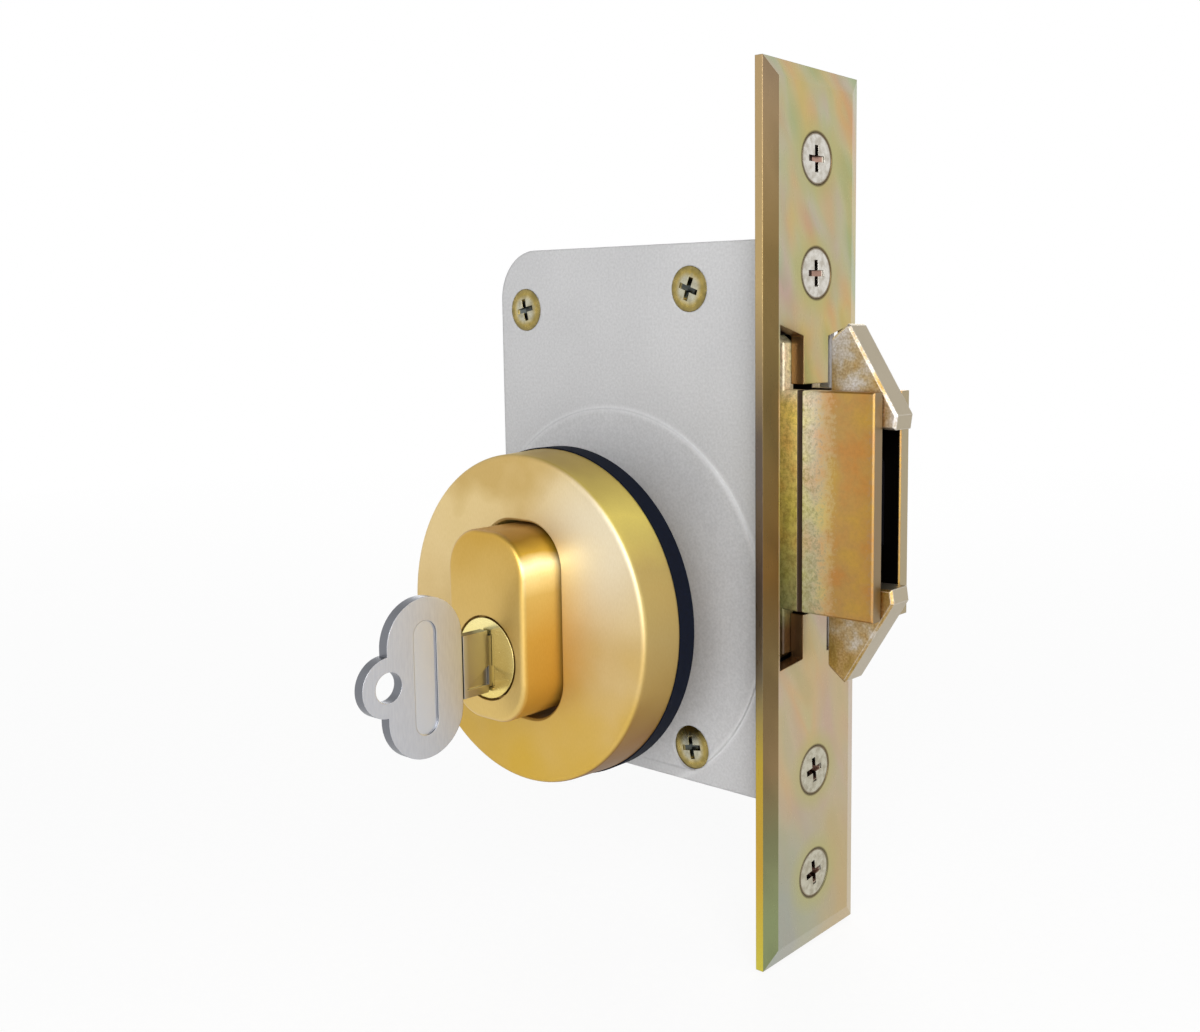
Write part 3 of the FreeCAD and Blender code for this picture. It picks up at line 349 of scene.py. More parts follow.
# painted shade: the slot walls are one dark brown, as the shade inside them
edge_and_slot_shade = add(tree, "ShaderNodeMix", {"Factor": in_slot, "A": strip, "B": "#94734E"}, **lay_over)
flat = add(tree, "ShaderNodeMath", {0: facing["X"]}, operation="ABSOLUTE")
sheared = add(tree, "ShaderNodeMapRange", {"Value": flat, "From Min": 0.5, "From Max": 0.3})
colour = add(tree, "ShaderNodeMix", {"Factor": sheared, "A": milled, "B": edge_and_slot_shade}, **lay_over)
fine = brushing(tree, place, 0.3, 3.0, 2)
rough = add(tree, "ShaderNodeMapRange", {"Value": fine, "To Min": 0.24, "To Max": 0.34})
surface(tree, colour, 0.95, rough, fine, 0.003, 0.25)

# %% [markdown]
# ## The bolt's walls
# The bolt is made of two steel walls, linished and passivated to a deep gold. The film is thicker
# here than on the plate, so it is browner, with a pale worn band next to the faceplate that turns
# olive lower down. What lies behind the plate's front shows only through the slot, and there light
# and shade are painted into the colour: pale where light reaches in at the slot's top, dark brown
# in the shade at its bottom. All of this goes by the place along the throw and up the wall, so the
# bands stay on the bolt when it moves. A noise with flakes near 0.7 mm pushes the bands' borders to
# and fro, because wear leaves no straight line. The slot's ends are read from the openings in the
# frame's record.

# %% Bolt film
openings = {opening["name"]: opening["box_m"] for opening in frame["record"]["physics"]["openings"]}
slot_bottom, slot_top = [corner[2] for corner in openings["near_slot"]]
worn_until = 9.0 * mm
bolt_finish, tree, place, normal = new_finish("linished passivated bolt steel")
at = add(tree, "ShaderNodeSeparateXYZ", {"Vector": place}).outputs
flake = add(tree, "ShaderNodeTexNoise", {"Vector": place, "Scale": per_metre(0.7), "Detail": 4.0,
                                         "Roughness": 0.7})
waver = add(tree, "ShaderNodeMapRange", {"Value": flake, "To Min": -4.0 * mm, "To Max": 4.0 * mm})
along = add(tree, "ShaderNodeMath", {0: at["X"], 1: waver}, operation="ADD")
reach = add(tree, "ShaderNodeMapRange", {"Value": along, "From Max": 20.0 * mm})
band = add(tree, "ShaderNodeValToRGB", {"Fac": reach},
           stops=[(0.10, "#F0DC78"), (0.18, "#FFF4C8"), (0.32, "#FFF6E0"), (0.42, "#E4CFA0"),
                  (0.56, "#C4A063"), (0.90, "#BE9450"), (0.97, "#AE8E60")])
height = add(tree, "ShaderNodeMapRange", {"Value": at["Z"], "From Min": slot_bottom,
                                          "From Max": slot_top})
# painted light and shade: pale at the slot's top, dark brown in the shade at its bottom
slot_light_and_shade = add(tree, "ShaderNodeValToRGB", {"Fac": height},
             stops=[(0.08, "#6A5034"), (0.16, "#B4AE80"), (0.40, "#DCC870"), (0.80, "#EED078"),
                    (0.86, "#F0E8CA")])
behind = add(tree, "ShaderNodeMath", {0: at["X"], 1: plate_high.x}, operation="LESS_THAN")
band = add(tree, "ShaderNodeMix", {"Factor": behind, "A": band, "B": slot_light_and_shade}, **lay_over)
olive = add(tree, "ShaderNodeValToRGB", {"Fac": height},
            stops=[(0.15, "#C6CCB4"), (0.5, "#E4E6D4"), (0.8, "#FFFFFF")])
worn = add(tree, "ShaderNodeMapRange", {"Value": along, "From Min": worn_until,
                                        "From Max": 6.5 * mm})
band = add(tree, "ShaderNodeMix", {"Factor": worn, "A": band, "B": olive}, **multiply)
print("worn band", round((worn_until - plate_high.x) / mm, 1), "mm wide in front of the plate")

# %% [markdown]
# The deep gold has warm and yellow clouds of its own, about 6 mm wide. The flakes also show as
# specks: strong in the worn band, where grit ground the film away, and faint on the smooth rest.

# %% Clouds and specks on the bolt
cloud = add(tree, "ShaderNodeTexNoise", {"Vector": place, "Scale": per_metre(6.0), "Detail": 3.0})
warm = add(tree, "ShaderNodeValToRGB", {"Fac": cloud},
           stops=[(0.35, "#FFE8DC"), (0.5, "#F8F4F0"), (0.65, "#FFFFE0")])
gold = add(tree, "ShaderNodeMix", {"Factor": 1.0, "A": band, "B": warm}, **multiply)
speck = add(tree, "ShaderNodeValToRGB", {"Fac": flake}, stops=[(0.35, "#C6C2B8"), (0.6, "#FFFFFF")])
strength = add(tree, "ShaderNodeMapRange", {"Value": worn, "To Min": 0.3, "To Max": 1.0})
gold = add(tree, "ShaderNodeMix", {"Factor": strength, "A": gold, "B": speck}, **multiply)
print("bolt so far:", len(tree.nodes), "nodes")

# %% [markdown]
# The walls' ends were cut after linishing, so they have a plain tone each. The faces that look into
# the gap between the walls are never touched by the belt and are painted near black, as the shade
# deep in the gap, and the groove that runs up the near wall is painted dark brown, as the shade in
# it. Near the plate the film is chalky, so less of the surface is Metallic there.

# %% Ends, grease and groove of the bolt
wall_low, wall_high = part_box("bolt_far_wall")
groove_x = 3.45 * mm
groove_half_width = 0.75 * mm
forwards = add(tree, "ShaderNodeSeparateXYZ", {"Vector": normal}).outputs["X"]
end = add(tree, "ShaderNodeMapRange", {"Value": forwards, "From Min": 0.7, "From Max": 0.9})
thrown = add(tree, "ShaderNodeMath", {0: 1.0, 1: behind}, operation="SUBTRACT")
end = add(tree, "ShaderNodeMath", {0: end, 1: thrown}, operation="MULTIPLY")
far_wall = add(tree, "ShaderNodeMath", {0: at["Y"], 1: 0.0}, operation="GREATER_THAN")
cut = add(tree, "ShaderNodeMix", {"Factor": far_wall, "A": "#8A7658", "B": "#A6987A"}, **lay_over)
colour = add(tree, "ShaderNodeMix", {"Factor": end, "A": gold, "B": cut}, **lay_over)

across = add(tree, "ShaderNodeMath", {0: at["Y"]}, operation="ABSOLUTE")
# painted shade: the faces inside the gap between the walls are near black
gap_shade = add(tree, "ShaderNodeMapRange", {"Value": across, "From Min": wall_low.y + 0.12 * mm,
                                          "From Max": wall_low.y + 0.02 * mm})
colour = add(tree, "ShaderNodeMix", {"Factor": gap_shade, "A": colour, "B": "#1C1712"}, **lay_over)
# painted shade: the groove up the near wall is dark brown
sunk = add(tree, "ShaderNodeMapRange", {"Value": across, "From Min": wall_high.y - 0.10 * mm,
                                        "From Max": wall_high.y - 0.25 * mm})
here = add(tree, "ShaderNodeMath", {0: at["X"], 1: groove_x, 2: groove_half_width},
           operation="COMPARE")
groove_shade = add(tree, "ShaderNodeMath", {0: sunk, 1: here}, operation="MULTIPLY")
colour = add(tree, "ShaderNodeMix", {"Factor": groove_shade, "A": colour, "B": "#3A2A1C"}, **lay_over)
metal = add(tree, "ShaderNodeMapRange", {"Value": along, "From Min": 4.0 * mm,
                                         "From Max": 10.0 * mm, "To Min": 0.2, "To Max": 0.95})
fine = brushing(tree, place, 0.25, 1.6, 2)
rough = add(tree, "ShaderNodeMapRange", {"Value": fine, "To Min": 0.3, "To Max": 0.42})
surface(tree, colour, metal, rough, flake, 0.01, 0.25)

# %% [markdown]
# ## The claws
# The claws are investment cast and only thinly passivated, so patches of bare silvery zinc and of
# gold film lie side by side, a few millimetres across, with a dust of finer grain on both. The
# lower claw kept more of its film, which adding a little to the noise by height gives. Their
# slanted outer faces are ground smooth for the keep to slide on and have one pale grey-beige tone.
# All the edges are paler: partly rubbed bright by the keep and partly a painted highlight.

# %% Claw finish
claw_finish, tree, place, normal = new_finish("cast claw steel, thinly passivated")
patch = add(tree, "ShaderNodeTexNoise", {"Vector": place, "Scale": per_metre(6.0), "Detail": 4.0,
                                         "Roughness": 0.5})
height = add(tree, "ShaderNodeSeparateXYZ", {"Vector": place}).outputs["Z"]
upper = add(tree, "ShaderNodeMapRange", {"Value": height, "From Min": -20.0 * mm,
                                         "From Max": 34.0 * mm, "To Min": -0.10, "To Max": 0.09})
bare = add(tree, "ShaderNodeMath", {0: patch, 1: upper}, operation="ADD")
cast = add(tree, "ShaderNodeValToRGB", {"Fac": bare},
           stops=[(0.34, "#A88C4C"), (0.44, "#BA9C68"), (0.52, "#C0AC88"), (0.58, "#CFC6B8"),
                  (0.68, "#DAD6D4")])
dust = add(tree, "ShaderNodeTexNoise", {"Vector": place, "Scale": per_metre(0.4), "Detail": 2.0})
spark = add(tree, "ShaderNodeValToRGB", {"Fac": dust}, stops=[(0.35, "#DED6C8"), (0.62, "#FFFFFF")])
cast = add(tree, "ShaderNodeMix", {"Factor": 1.0, "A": cast, "B": spark}, **multiply)

sideways = add(tree, "ShaderNodeSeparateXYZ", {"Vector": normal}).outputs["Y"]
flat = add(tree, "ShaderNodeMath", {0: sideways}, operation="ABSOLUTE")
ground = add(tree, "ShaderNodeMapRange", {"Value": flat, "From Min": 0.6, "From Max": 0.4})
colour = add(tree, "ShaderNodeMix", {"Factor": ground, "A": cast, "B": "#AFA48E"}, **lay_over)
# the pale edges are partly wear and partly a painted highlight
brightened = add(tree, "ShaderNodeMath", {0: near_edge(tree, 0.3), 1: 0.5}, operation="MULTIPLY")
colour = add(tree, "ShaderNodeMix", {"Factor": brightened, "A": colour, "B": "#E2DED6"}, **lay_over)
rough = add(tree, "ShaderNodeMapRange", {"Value": patch, "To Min": 0.25, "To Max": 0.5})
surface(tree, colour, 0.95, rough, dust, 0.02, 0.3)

# %% [markdown]
# ## Brushed brass
# Escutcheon, cylinder and plug are solid brass. A fine belt left short lines on the faces, the
# rims were turned, and a clear lacquer over both keeps them bright. Their tones go by height and
# are partly the lacquer, deeper yellow where it ran down and gathered, and partly painted light:
# paler towards the top, a painted highlight on one spot of the face, and painted bands of highlight
# and shade round the rims. The lacquer also scatters some light, most of all on the rims, so those
# are only partly Metallic. A metal keeps the default IOR, since its colour is its reflection. The
# belt's lines are near 0.05 mm apart and are drawn at 0.25 mm so that they show as a soft grain.
# One function makes all three, because they differ only in tones and in how far they were polished.

# %% Brushed brass
def brushed_brass(name, face, rim, axis, roughness, highlight_spot=None):
    """Brass with its own tones on the face and on the rim.

    face and rim are each (top height, bottom height, tones from top to bottom, metallic), and those
    tones are partly lacquer and partly painted highlight and shade. The brush lines run along the
    axis
    0, 1 or 2, and roughness is (least, most). The last argument is a spot on the face with a
    painted
    highlight: its x, its z, its inner and its outer radius.
    """
    material, tree, place, normal = new_finish(name)
    at = add(tree, "ShaderNodeSeparateXYZ", {"Vector": place}).outputs
    lines = brushing(tree, place, 0.25, 0.8, axis, 1.0)
    soft = add(tree, "ShaderNodeTexNoise", {"Vector": place, "Scale": per_metre(12.0),
                                            "Detail": 2.0})
    tones = []
    # the tones by height are partly lacquer and partly painted highlight and shade
    for (top, bottom, stops, _), sway in ((face, 0.5), (rim, 0.12)):
        drop = add(tree, "ShaderNodeMapRange", {"Value": at["Z"], "From Min": top,
                                                "From Max": bottom, "To Min": -sway / 2,
                                                "To Max": 1.0 - sway / 2})
        level = add(tree, "ShaderNodeMath", {0: soft, 1: sway, 2: drop}, operation="MULTIPLY_ADD")
        tones.append(add(tree, "ShaderNodeValToRGB", {"Fac": level}, stops=stops))
    # painted highlight: a broad pale spot on the face
    if highlight_spot:
        x, z, inner, outer = highlight_spot
        flattened = add(tree, "ShaderNodeCombineXYZ", {"X": at["X"], "Z": at["Z"]})
        away = add(tree, "ShaderNodeVectorMath", {0: flattened, 1: (x, 0.0, z)},
                   operation="DISTANCE")
        painted_highlight = add(tree, "ShaderNodeMapRange", {"Value": away, "From Min": outer,
                                                "From Max": inner, "To Max": 0.7},
                   interpolation_type="SMOOTHSTEP")
        tones[0] = add(tree, "ShaderNodeMix", {"Factor": painted_highlight, "A": tones[0], "B": "#F2EAD6"},
                       **lay_over)
    frontal = add(tree, "ShaderNodeSeparateXYZ", {"Vector": normal}).outputs["Y"]
    flat = add(tree, "ShaderNodeMath", {0: frontal}, operation="ABSOLUTE")
    turned = add(tree, "ShaderNodeMapRange", {"Value": flat, "From Min": 0.8, "From Max": 0.4})
    lacquer_and_painted_light = add(tree, "ShaderNodeMix", {"Factor": turned, "A": tones[0], "B": tones[1]},
                  **lay_over)
    streak = add(tree, "ShaderNodeValToRGB", {"Fac": lines},
                 stops=[(0.3, "#FAF8F3"), (0.7, "#FFFFFF")])
    colour = add(tree, "ShaderNodeMix", {"Factor": 1.0, "A": lacquer_and_painted_light, "B": streak}, **multiply)
    metal = add(tree, "ShaderNodeMapRange", {"Value": turned, "To Min": face[-1],
                                             "To Max": rim[-1]})
    rough = add(tree, "ShaderNodeMapRange", {"Value": lines, "To Min": roughness[0],
                                             "To Max": roughness[1]})
    surface(tree, colour, metal, rough, lines, 0.0006, 0.3)
    return material


# %% [markdown]
# The escutcheon is the least polished: its face scatters the cylinder's reflection into a soft
# patch, and a painted highlight lies on its upper right. The cylinder's side goes from a painted
# brown shade under its top curve to a painted pale band, where it would mirror the lamps, and down
# to amber. The plug was turned and is the smoothest, and its rim is painted dark as the shade in
# the gap round it.

# %% Escutcheon, cylinder and plug
escutcheon_finish = brushed_brass(
    "belt brushed brass",
    face=(disc_high.z - 1.4 * mm, disc_low.z + 1.1 * mm,
          [(0.0, "#CCAE6C"), (0.14, "#E0C890"), (0.3, "#E2CA94"), (0.55, "#D5B97E"),
           (0.75, "#D2B05E"), (1.0, "#D0AB42")], 0.75),
    rim=(disc_high.z, disc_low.z,
         [(0.0, "#A88E48"), (0.16, "#E4D06C"), (0.33, "#B09C5E"), (0.5, "#AE965C"),
          (0.65, "#AA8C4C"), (0.8, "#88601A"), (1.0, "#6E4A0E")], 0.5),
    axis=2, roughness=(0.46, 0.56), highlight_spot=(-20.0 * mm, -2.0 * mm, 3.0 * mm, 20.0 * mm))
low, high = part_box("cylinder_body")
cylinder_finish = brushed_brass(
    "drawn and brushed brass",
    face=(high.z, low.z,
          [(0.0, "#CCA44C"), (0.35, "#D6B468"), (0.7, "#DABA72"), (1.0, "#DDBE74")], 0.95),
    rim=(high.z, low.z,
         [(0.0, "#B48C4E"), (0.05, "#94701E"), (0.12, "#B8952E"), (0.17, "#FFF2C4"),
          (0.22, "#F2DC9C"), (0.32, "#CEAE62"), (0.55, "#C89E46"), (0.85, "#BE9038"),
          (1.0, "#AC7E2A")], 0.5),
    axis=2, roughness=(0.32, 0.42))
low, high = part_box("cylinder_plug")
plug_finish = brushed_brass(
    "turned plug brass",
    face=(high.z, low.z, [(0.0, "#FFF0A8"), (0.5, "#FCE898"), (1.0, "#F2D880")], 0.95),
    rim=(high.z, low.z, [(0.0, "#8A6A2C"), (1.0, "#6E5420")], 0.8),
    axis=0, roughness=(0.2, 0.3))

# %% [markdown]
# ## Nickel silver key
# The key is stamped from nickel silver sheet, a grey copper alloy, and tumbled. The faces are an
# even light grey with faint upright lines. The panel pressed into the bow is a shade paler, and the
# blade is rubbed brown by the brass it runs in. The blanked rim, torn by the punch, is painted much
# darker, as the shade and dark reflections on its edge faces. The place tells panel and blade from
# the rest, and the normal tells the rim.

# %% Key finish
low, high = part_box("key")
key_middle = (low.x + high.x) / 2
half_sheet = (high.x - low.x) / 2
blade_from = -50.5 * mm
blade_full = -48.5 * mm
key_finish, tree, place, normal = new_finish("stamped nickel silver")
at = add(tree, "ShaderNodeSeparateXYZ", {"Vector": place}).outputs
lines = brushing(tree, place, 0.3, 2.0, 2)
sheet = add(tree, "ShaderNodeValToRGB", {"Fac": lines}, stops=[(0.3, "#BDBEC3"), (0.7, "#C6C7CB")])
off = add(tree, "ShaderNodeMath", {0: at["X"], 1: key_middle}, operation="SUBTRACT")
off = add(tree, "ShaderNodeMath", {0: off}, operation="ABSOLUTE")
pressed = add(tree, "ShaderNodeMapRange", {"Value": off, "From Min": half_sheet - 0.05 * mm,
                                           "From Max": half_sheet - 0.25 * mm})
colour = add(tree, "ShaderNodeMix", {"Factor": pressed, "A": sheet, "B": "#C9CBD0"}, **lay_over)
blade = add(tree, "ShaderNodeMapRange", {"Value": at["Y"], "From Min": blade_from,
                                         "From Max": blade_full})
colour = add(tree, "ShaderNodeMix", {"Factor": blade, "A": colour, "B": "#9C9078"}, **lay_over)
sideways = add(tree, "ShaderNodeSeparateXYZ", {"Vector": normal}).outputs["X"]
flat = add(tree, "ShaderNodeMath", {0: sideways}, operation="ABSOLUTE")
# painted shade: the blanked rim's edge faces are darkened
edge_shade = add(tree, "ShaderNodeMapRange", {"Value": flat, "From Min": 0.6, "From Max": 0.4})
colour = add(tree, "ShaderNodeMix", {"Factor": edge_shade, "A": colour, "B": "#7C7E84"}, **lay_over)
rough = add(tree, "ShaderNodeMapRange", {"Value": lines, "To Min": 0.3, "To Max": 0.4})
surface(tree, colour, 1.0, rough, lines, 0.002, 0.2)

# %% [markdown]
# ## Screws
# The screws are cold headed and zinc plated: silvery on the faceplate, yellow on the case. The
# cross is pressed deep, is painted dark inside as the shade in it, and catches light on its rim.
# Depth below the head's face decides how dark the painted shade is, down to the cross's floor, and
# the shank behind that is plated again. The yellow heads are low domes that the driver rubbed
# silvery in the middle, and painted glints are speckled over the middles of all the heads. The
# dome's tilt tells the middle from the yellow ring around it, and the silver fades out from 5 to 7
# degrees of tilt, which are written as cosines. The silvery heads sit in their countersinks, and a
# ring of painted shade darkens them at the rim, where the countersink's gap is.

# %% Screw finishes
crown_cosine = 0.9965
ring_cosine = 0.9925


def plated_screw(name, plating, crowns, recess_shade, axis, depths_mm, shade_ring_mm=None):
    """A screw's plating, rubbed crown and cross recess.

    plating is (dark, light), and crowns is the middle's tone below and above z = 0, with painted
    glints over it. The third colour is the painted shade in the cross. depths_mm, along the axis:
    where the cross's painted shade starts to darken, where it is dark, its floor, and where the
    plating is back. The last argument is the radius from which a painted shade darkens the
    faceplate's heads, as the gap of their countersinks.
    """
    material, tree, place, normal = new_finish(name)
    at = add(tree, "ShaderNodeSeparateXYZ", {"Vector": place}).outputs
    speck = add(tree, "ShaderNodeTexNoise", {"Vector": place, "Scale": per_metre(1.2),
                                             "Detail": 2.0})
    zinc = add(tree, "ShaderNodeValToRGB", {"Fac": speck},
               stops=[(0.35, plating[0]), (0.65, plating[1])])

    # painted glints speckled over the crown
    glint = add(tree, "ShaderNodeValToRGB", {"Fac": speck},
                stops=[(0.35, "#DCD8D2"), (0.6, "#FFFFFF")])
    upper = add(tree, "ShaderNodeMath", {0: at["Z"], 1: 0.0}, operation="GREATER_THAN")
    crown = add(tree, "ShaderNodeMix", {"Factor": upper, "A": crowns[0], "B": crowns[1]},
                **lay_over)
    crown = add(tree, "ShaderNodeMix", {"Factor": 1.0, "A": crown, "B": glint}, **multiply)
    tilt = add(tree, "ShaderNodeSeparateXYZ", {"Vector": normal}).outputs[axis]
    level = add(tree, "ShaderNodeMath", {0: tilt}, operation="ABSOLUTE")
    brightened = add(tree, "ShaderNodeMapRange", {"Value": level, "From Min": ring_cosine,
                                              "From Max": crown_cosine, "To Max": 0.85})
    colour = add(tree, "ShaderNodeMix", {"Factor": brightened, "A": zinc, "B": crown}, **lay_over)

    # painted shade: a dark ring round each faceplate head, where the countersink's gap is
    if shade_ring_mm:
        countersink_ring_shade = add(tree, "ShaderNodeMapRange", {"Value": from_screw(tree, place),
                                                   "From Min": shade_ring_mm * mm,
                                                   "From Max": (shade_ring_mm + 0.2) * mm,
                                                   "To Max": 0.85})
        in_plate = add(tree, "ShaderNodeMath", {0: at["X"], 1: 0.5 * mm}, operation="GREATER_THAN")
        countersink_ring_shade = add(tree, "ShaderNodeMath", {0: countersink_ring_shade, 1: in_plate}, operation="MULTIPLY")
        colour = add(tree, "ShaderNodeMix", {"Factor": countersink_ring_shade, "A": colour, "B": "#6E5C40"},
                     **lay_over)

    # painted shade: the cross darkens with depth
    start, dark, ground, plated = [depth * mm for depth in depths_mm]
    sunk = add(tree, "ShaderNodeMapRange", {"Value": at[axis], "From Min": start, "From Max": dark})
    above = add(tree, "ShaderNodeMapRange", {"Value": at[axis], "From Min": plated,
                                             "From Max": ground})
    sunk = add(tree, "ShaderNodeMath", {0: sunk, 1: above}, operation="MULTIPLY")
    colour = add(tree, "ShaderNodeMix", {"Factor": sunk, "A": colour, "B": recess_shade}, **lay_over)
    rough = add(tree, "ShaderNodeMapRange", {"Value": speck, "To Min": 0.2, "To Max": 0.32})
    surface(tree, colour, 1.0, rough, speck, 0.004, 0.12)
    return material


bright_finish = plated_screw(
    "bright zinc", plating=("#B6B2A4", "#D2CEC2"), crowns=("#BDB8A4", "#D8D4CC"), recess_shade="#54423A",
    axis="X", depths_mm=(2.72, 2.3, 1.0, 0.8), shade_ring_mm=4.2)
yellow_finish = plated_screw(
    "yellow zinc", plating=("#A08C48", "#BFA75C"), crowns=("#C0C0B0", "#C0C0B0"), recess_shade="#464A48",
    axis="Y", depths_mm=(-10.2, -9.8, -9.1, -8.9))

# %% [markdown]
# ## Inside parts and the gasket
# Shaft, gears and posts are plain machined steel, which shows faint tool marks. The claw bar is
# chemically blacked, a dark, slightly blue metal, and its dark also stands for the shade in the gap
# at the bolt's front. The gasket is moulded rubber, nearly black with a navy cast: not a metal,
# quite rough, with a skin of tiny pores. It is soft, so its edges need no rounding, and it mirrors
# little, so its specular level is low.

# %% Inside finishes
def machined(name, dark, light, metallic, roughness):
    """Steel with faint tool marks; roughness is (least, most)."""
    material, tree, place, _ = new_finish(name)
    marks = brushing(tree, place, 0.25, 0.8, 1)
    colour = add(tree, "ShaderNodeValToRGB", {"Fac": marks}, stops=[(0.3, dark), (0.7, light)])
    rough = add(tree, "ShaderNodeMapRange", {"Value": marks, "To Min": roughness[0],
                                             "To Max": roughness[1]})
    surface(tree, colour, metallic, rough, marks, 0.003, 0.1)
    return material


steel_finish = machined("machined steel", "#8C8E92", "#A7A9AC", 1.0, (0.25, 0.4))
# its dark also stands for the shade in the bolt's gap and slot
blacked_shade_finish = machined("black oxide", "#0D0D12", "#1A1A20", 0.5, (0.3, 0.45))

gasket_finish, tree, place, _ = new_finish("moulded rubber")
pores = add(tree, "ShaderNodeTexNoise", {"Vector": place, "Scale": per_metre(0.5), "Detail": 2.0})
colour = add(tree, "ShaderNodeValToRGB", {"Fac": pores}, stops=[(0.3, "#060A16"), (0.7, "#0C1222")])
rough = add(tree, "ShaderNodeMapRange", {"Value": pores, "To Min": 0.7, "To Max": 0.85})
bump = add(tree, "ShaderNodeBump", {"Distance": 0.01 * mm, "Height": pores})
shader = add(tree, "ShaderNodeBsdfPrincipled", {"Base Color": colour, "Roughness": rough,
                                                "Specular IOR Level": 0.12, "Normal": bump})
add(tree, "ShaderNodeOutputMaterial", {"Surface": shader})

# %% [markdown]
# ## Which solid gets which finish
# The frame's record names a material slot for each solid, so one dictionary from slot to finish
# dresses the whole lock. Two solids depart from their slot. The escutcheon shares the slot for
# brass with the cylinder but was made in another way, so it gets its own finish. The guide bars of
# the bolt get the black finish as painted shade, so that they read as the shade in the slot and
# don't shine through it.

# %% Give every solid its finish
finishes = {
    "case_zinc": case_finish, "yellow_passivate": plate_finish, "bolt_gold": bolt_finish,
    "claw_steel": claw_finish, "brass": cylinder_finish, "plug_brass": plug_finish,
    "nickel_silver": key_finish, "gasket_rubber": gasket_finish, "yellow_screw": yellow_finish,
    "bright_screw": bright_finish, "inner_steel": steel_finish, "black_oxide": blacked_shade_finish,
    "spring_steel": steel_finish,
}
# painted shade: the bolt's guide bars get the black finish so the slot reads dark
own_finishes = {"escutcheon": escutcheon_finish, "bolt_guides": blacked_shade_finish}
for part in frame["record"]["subparts"]:
    finish = own_finishes.get(part["node"], finishes[part["material_slot"]])
    slots = nodes[part["node"]].data.materials
    slots.clear()
    slots.append(finish)
print("dressed", len(nodes), "solids in", len(bpy.data.materials), "finishes")

# %% [markdown]
# ## Floor, backdrop and light
# The photograph is a cut-out on white, so the floor and the world are white. A sheet of paper
# stands for the floor. Light Path tells which rays come from the camera, from a shiny surface or
# through glass: those see the paper made whiter, a little less near the lock, where its soft
# shadow is kept, and wholly from 0.9 m on, where the lamps no longer reach. So the background is
# even, and metal mirrors it. All other rays see the plain paper.

# %% Floor
def looked_at(tree):
    """1 for rays from the camera, off something shiny or through glass, and 0 for the rest."""
    rays = add(tree, "ShaderNodeLightPath").outputs
    shiny = add(tree, "ShaderNodeMath", {0: rays["Is Camera Ray"], 1: rays["Is Glossy Ray"]},
                operation="MAXIMUM")
    return add(tree, "ShaderNodeMath", {0: shiny, 1: rays["Is Transmission Ray"]},
               operation="MAXIMUM")


paper_width = 6.0
shadow_until = 0.2
white_from = 0.9
floor_z = cad_box[0][2] - 0.6 * mm
bpy.ops.mesh.primitive_plane_add(size=paper_width, location=(0.0, 0.0, floor_z))
floor = bpy.context.object
floor.name = "floor"
paper, tree, place, _ = new_finish("white paper")
fibre = add(tree, "ShaderNodeTexNoise", {"Vector": place, "Scale": per_metre(2.0), "Detail": 3.0})
pulp = add(tree, "ShaderNodeValToRGB", {"Fac": fibre}, stops=[(0.3, "#F9F9F9"), (0.7, "#FFFFFF")])
matte = add(tree, "ShaderNodeBsdfPrincipled", {"Base Color": pulp, "Roughness": 0.9})
away = add(tree, "ShaderNodeVectorMath", {0: place}, operation="LENGTH")
white = add(tree, "ShaderNodeMapRange", {"Value": away, "From Min": shadow_until,
                                         "From Max": white_from, "To Min": 0.88, "To Max": 1.0})
share = add(tree, "ShaderNodeMath", {0: looked_at(tree), 1: white}, operation="MULTIPLY")
glow = add(tree, "ShaderNodeEmission", {"Color": "#FFFFFF", "Strength": 1.0})
both = add(tree, "ShaderNodeMixShader", {0: share, 1: matte, 2: glow})
add(tree, "ShaderNodeOutputMaterial", {"Surface": both})
floor.data.materials.append(paper)
print("floor at", round(floor_z / mm, 1), "mm")

# %% [markdown]
# The world has two halves in the same way. What lights matte surfaces is an even, soft studio of
# about a third of full strength. What the camera and the metal see is white up to well above the
# horizon and grey overhead, like the dark ceiling over a light tent, and that grey is what gives
# the tops of the brass pieces their depth.

# %% World
world = bpy.data.worlds.new("studio")
scene.world = world
world.use_nodes = True
tree = world.node_tree
tree.nodes.clear()
ahead = add(tree, "ShaderNodeTexCoord").outputs["Generated"]
upness = add(tree, "ShaderNodeSeparateXYZ", {"Vector": ahead}).outputs["Z"]
ceiling = add(tree, "ShaderNodeValToRGB", {"Fac": upness},
              stops=[(0.0, "#FFFFFF"), (0.55, "#FFFFFF"), (0.85, "#A8A8A8"), (1.0, "#808080")])
backdrop = add(tree, "ShaderNodeBackground", {"Color": ceiling, "Strength": 1.0})
soft = add(tree, "ShaderNodeBackground", {"Color": "#FFFFFF", "Strength": 0.35})
both = add(tree, "ShaderNodeMixShader", {0: looked_at(tree), 1: soft, 2: backdrop})
add(tree, "ShaderNodeOutputWorld", {"Surface": both})
print("world:", len(tree.nodes), "nodes")

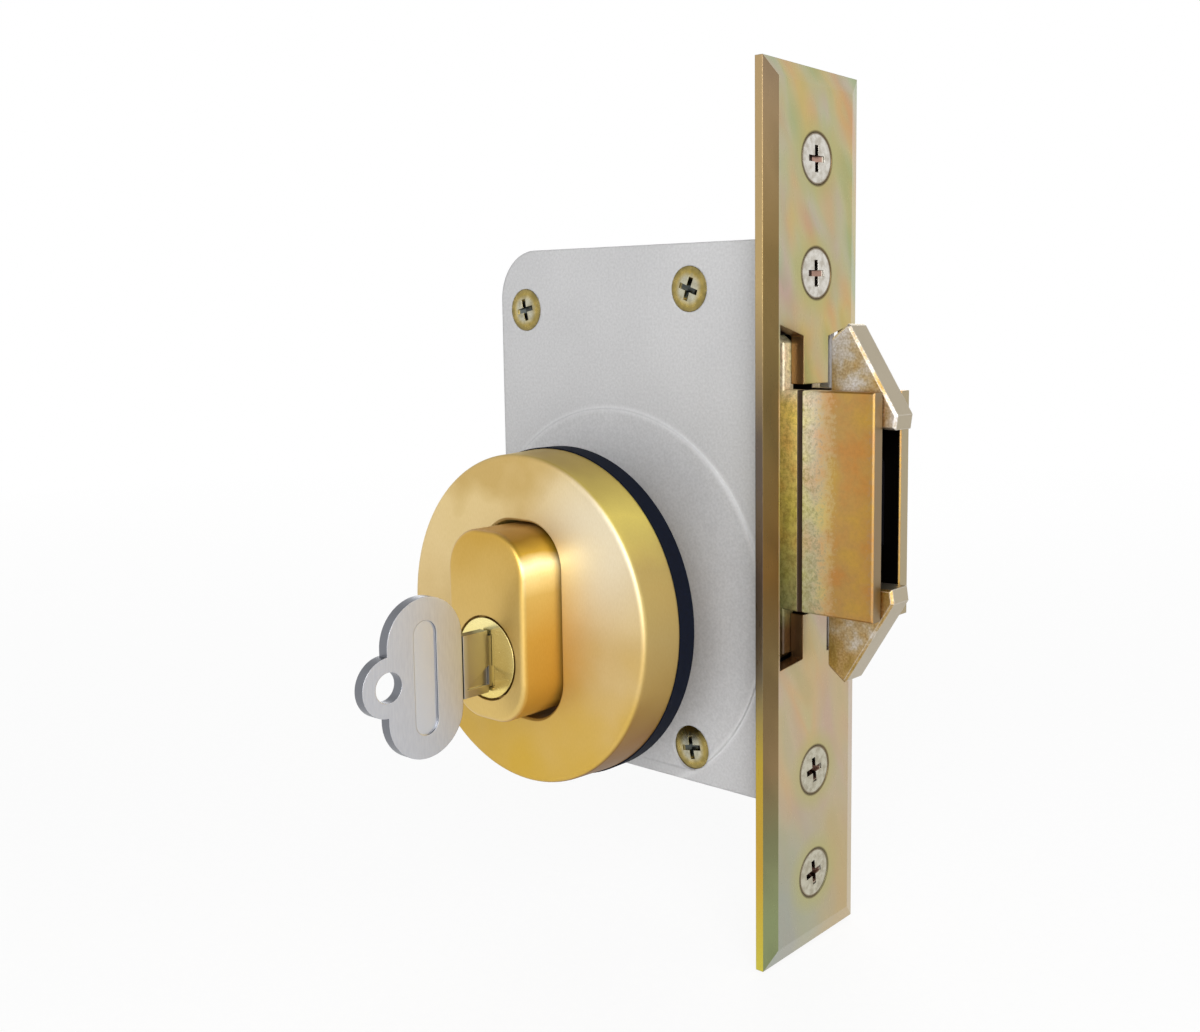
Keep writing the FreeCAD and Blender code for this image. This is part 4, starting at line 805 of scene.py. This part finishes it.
# %% [markdown]
# Square softboxes add what the even studio lacks. The largest stands behind and above the camera,
# so that nothing the camera sees is in its shadow. A smaller one stands low on the right: it
# reaches in beside the escutcheon and draws a bright line along each rounded edge between a front
# and a right-hand face. A weak one from the right keeps the edges apart, and one behind lights the
# far side for whoever turns the lock. All are weak enough that a colour still shows about as it
# is written.

# %% Lamps
lock_middle = Vector((-0.02, -0.02, 0.0))


def softbox(name, place, width, power):
    """A square area lamp that looks at the lock's middle."""
    lamp = bpy.data.lights.new(name, "AREA")
    lamp.size = width
    lamp.energy = power
    holder = bpy.data.objects.new(name, lamp)
    scene.collection.objects.link(holder)
    holder.location = place
    holder.rotation_euler = (lock_middle - Vector(place)).to_track_quat("-Z", "Y").to_euler()
    print(name, "radiance", round(power / (math.pi * width * width), 2))


softbox("key softbox", (0.50, -0.66, 0.38), 0.80, 5.4)
softbox("low softbox", (0.50, -0.42, 0.14), 0.42, 1.4)
softbox("side softbox", (0.65, 0.15, 0.30), 0.40, 0.6)
softbox("far softbox", (-0.50, 0.60, 0.40), 0.60, 2.4)

# %% [markdown]
# ## Camera
# The camera was worked out from the photograph: where the plate's edges, the screw heads and the
# round escutcheon fall in it. The picture is a crop, so the lens looks at a point beside the
# middle of the frame, and the camera's shift takes that up.

# %% Camera
photo_w = 1200
photo_h = 1032
focal_px = 1286.67
centre_px = (758.67, 475.73)
eye = Vector((0.13771, -0.19543, 0.03653))
forward = Vector((-0.60013, 0.79143, -0.11611)).normalized()
upward = Vector((-0.06934, 0.09314, 0.99324))
right = forward.cross(upward).normalized()
upward = right.cross(forward).normalized()
lens = bpy.data.cameras.new("photograph camera")
lens.sensor_width = 36.0
lens.lens = focal_px / photo_w * lens.sensor_width
lens.shift_x = (photo_w / 2 - centre_px[0]) / photo_w
lens.shift_y = (centre_px[1] - photo_h / 2) / photo_w
lens.clip_start = 0.01
camera = bpy.data.objects.new("photograph camera", lens)
scene.collection.objects.link(camera)
camera.matrix_world = Matrix((
    (right.x, upward.x, -forward.x, eye.x),
    (right.y, upward.y, -forward.y, eye.y),
    (right.z, upward.z, -forward.z, eye.z),
    (0, 0, 0, 1)))
scene.camera = camera
scene.view_settings.view_transform = "Standard"
print("lens", round(lens.lens, 2), "mm, shift", round(lens.shift_x, 4), round(lens.shift_y, 4))
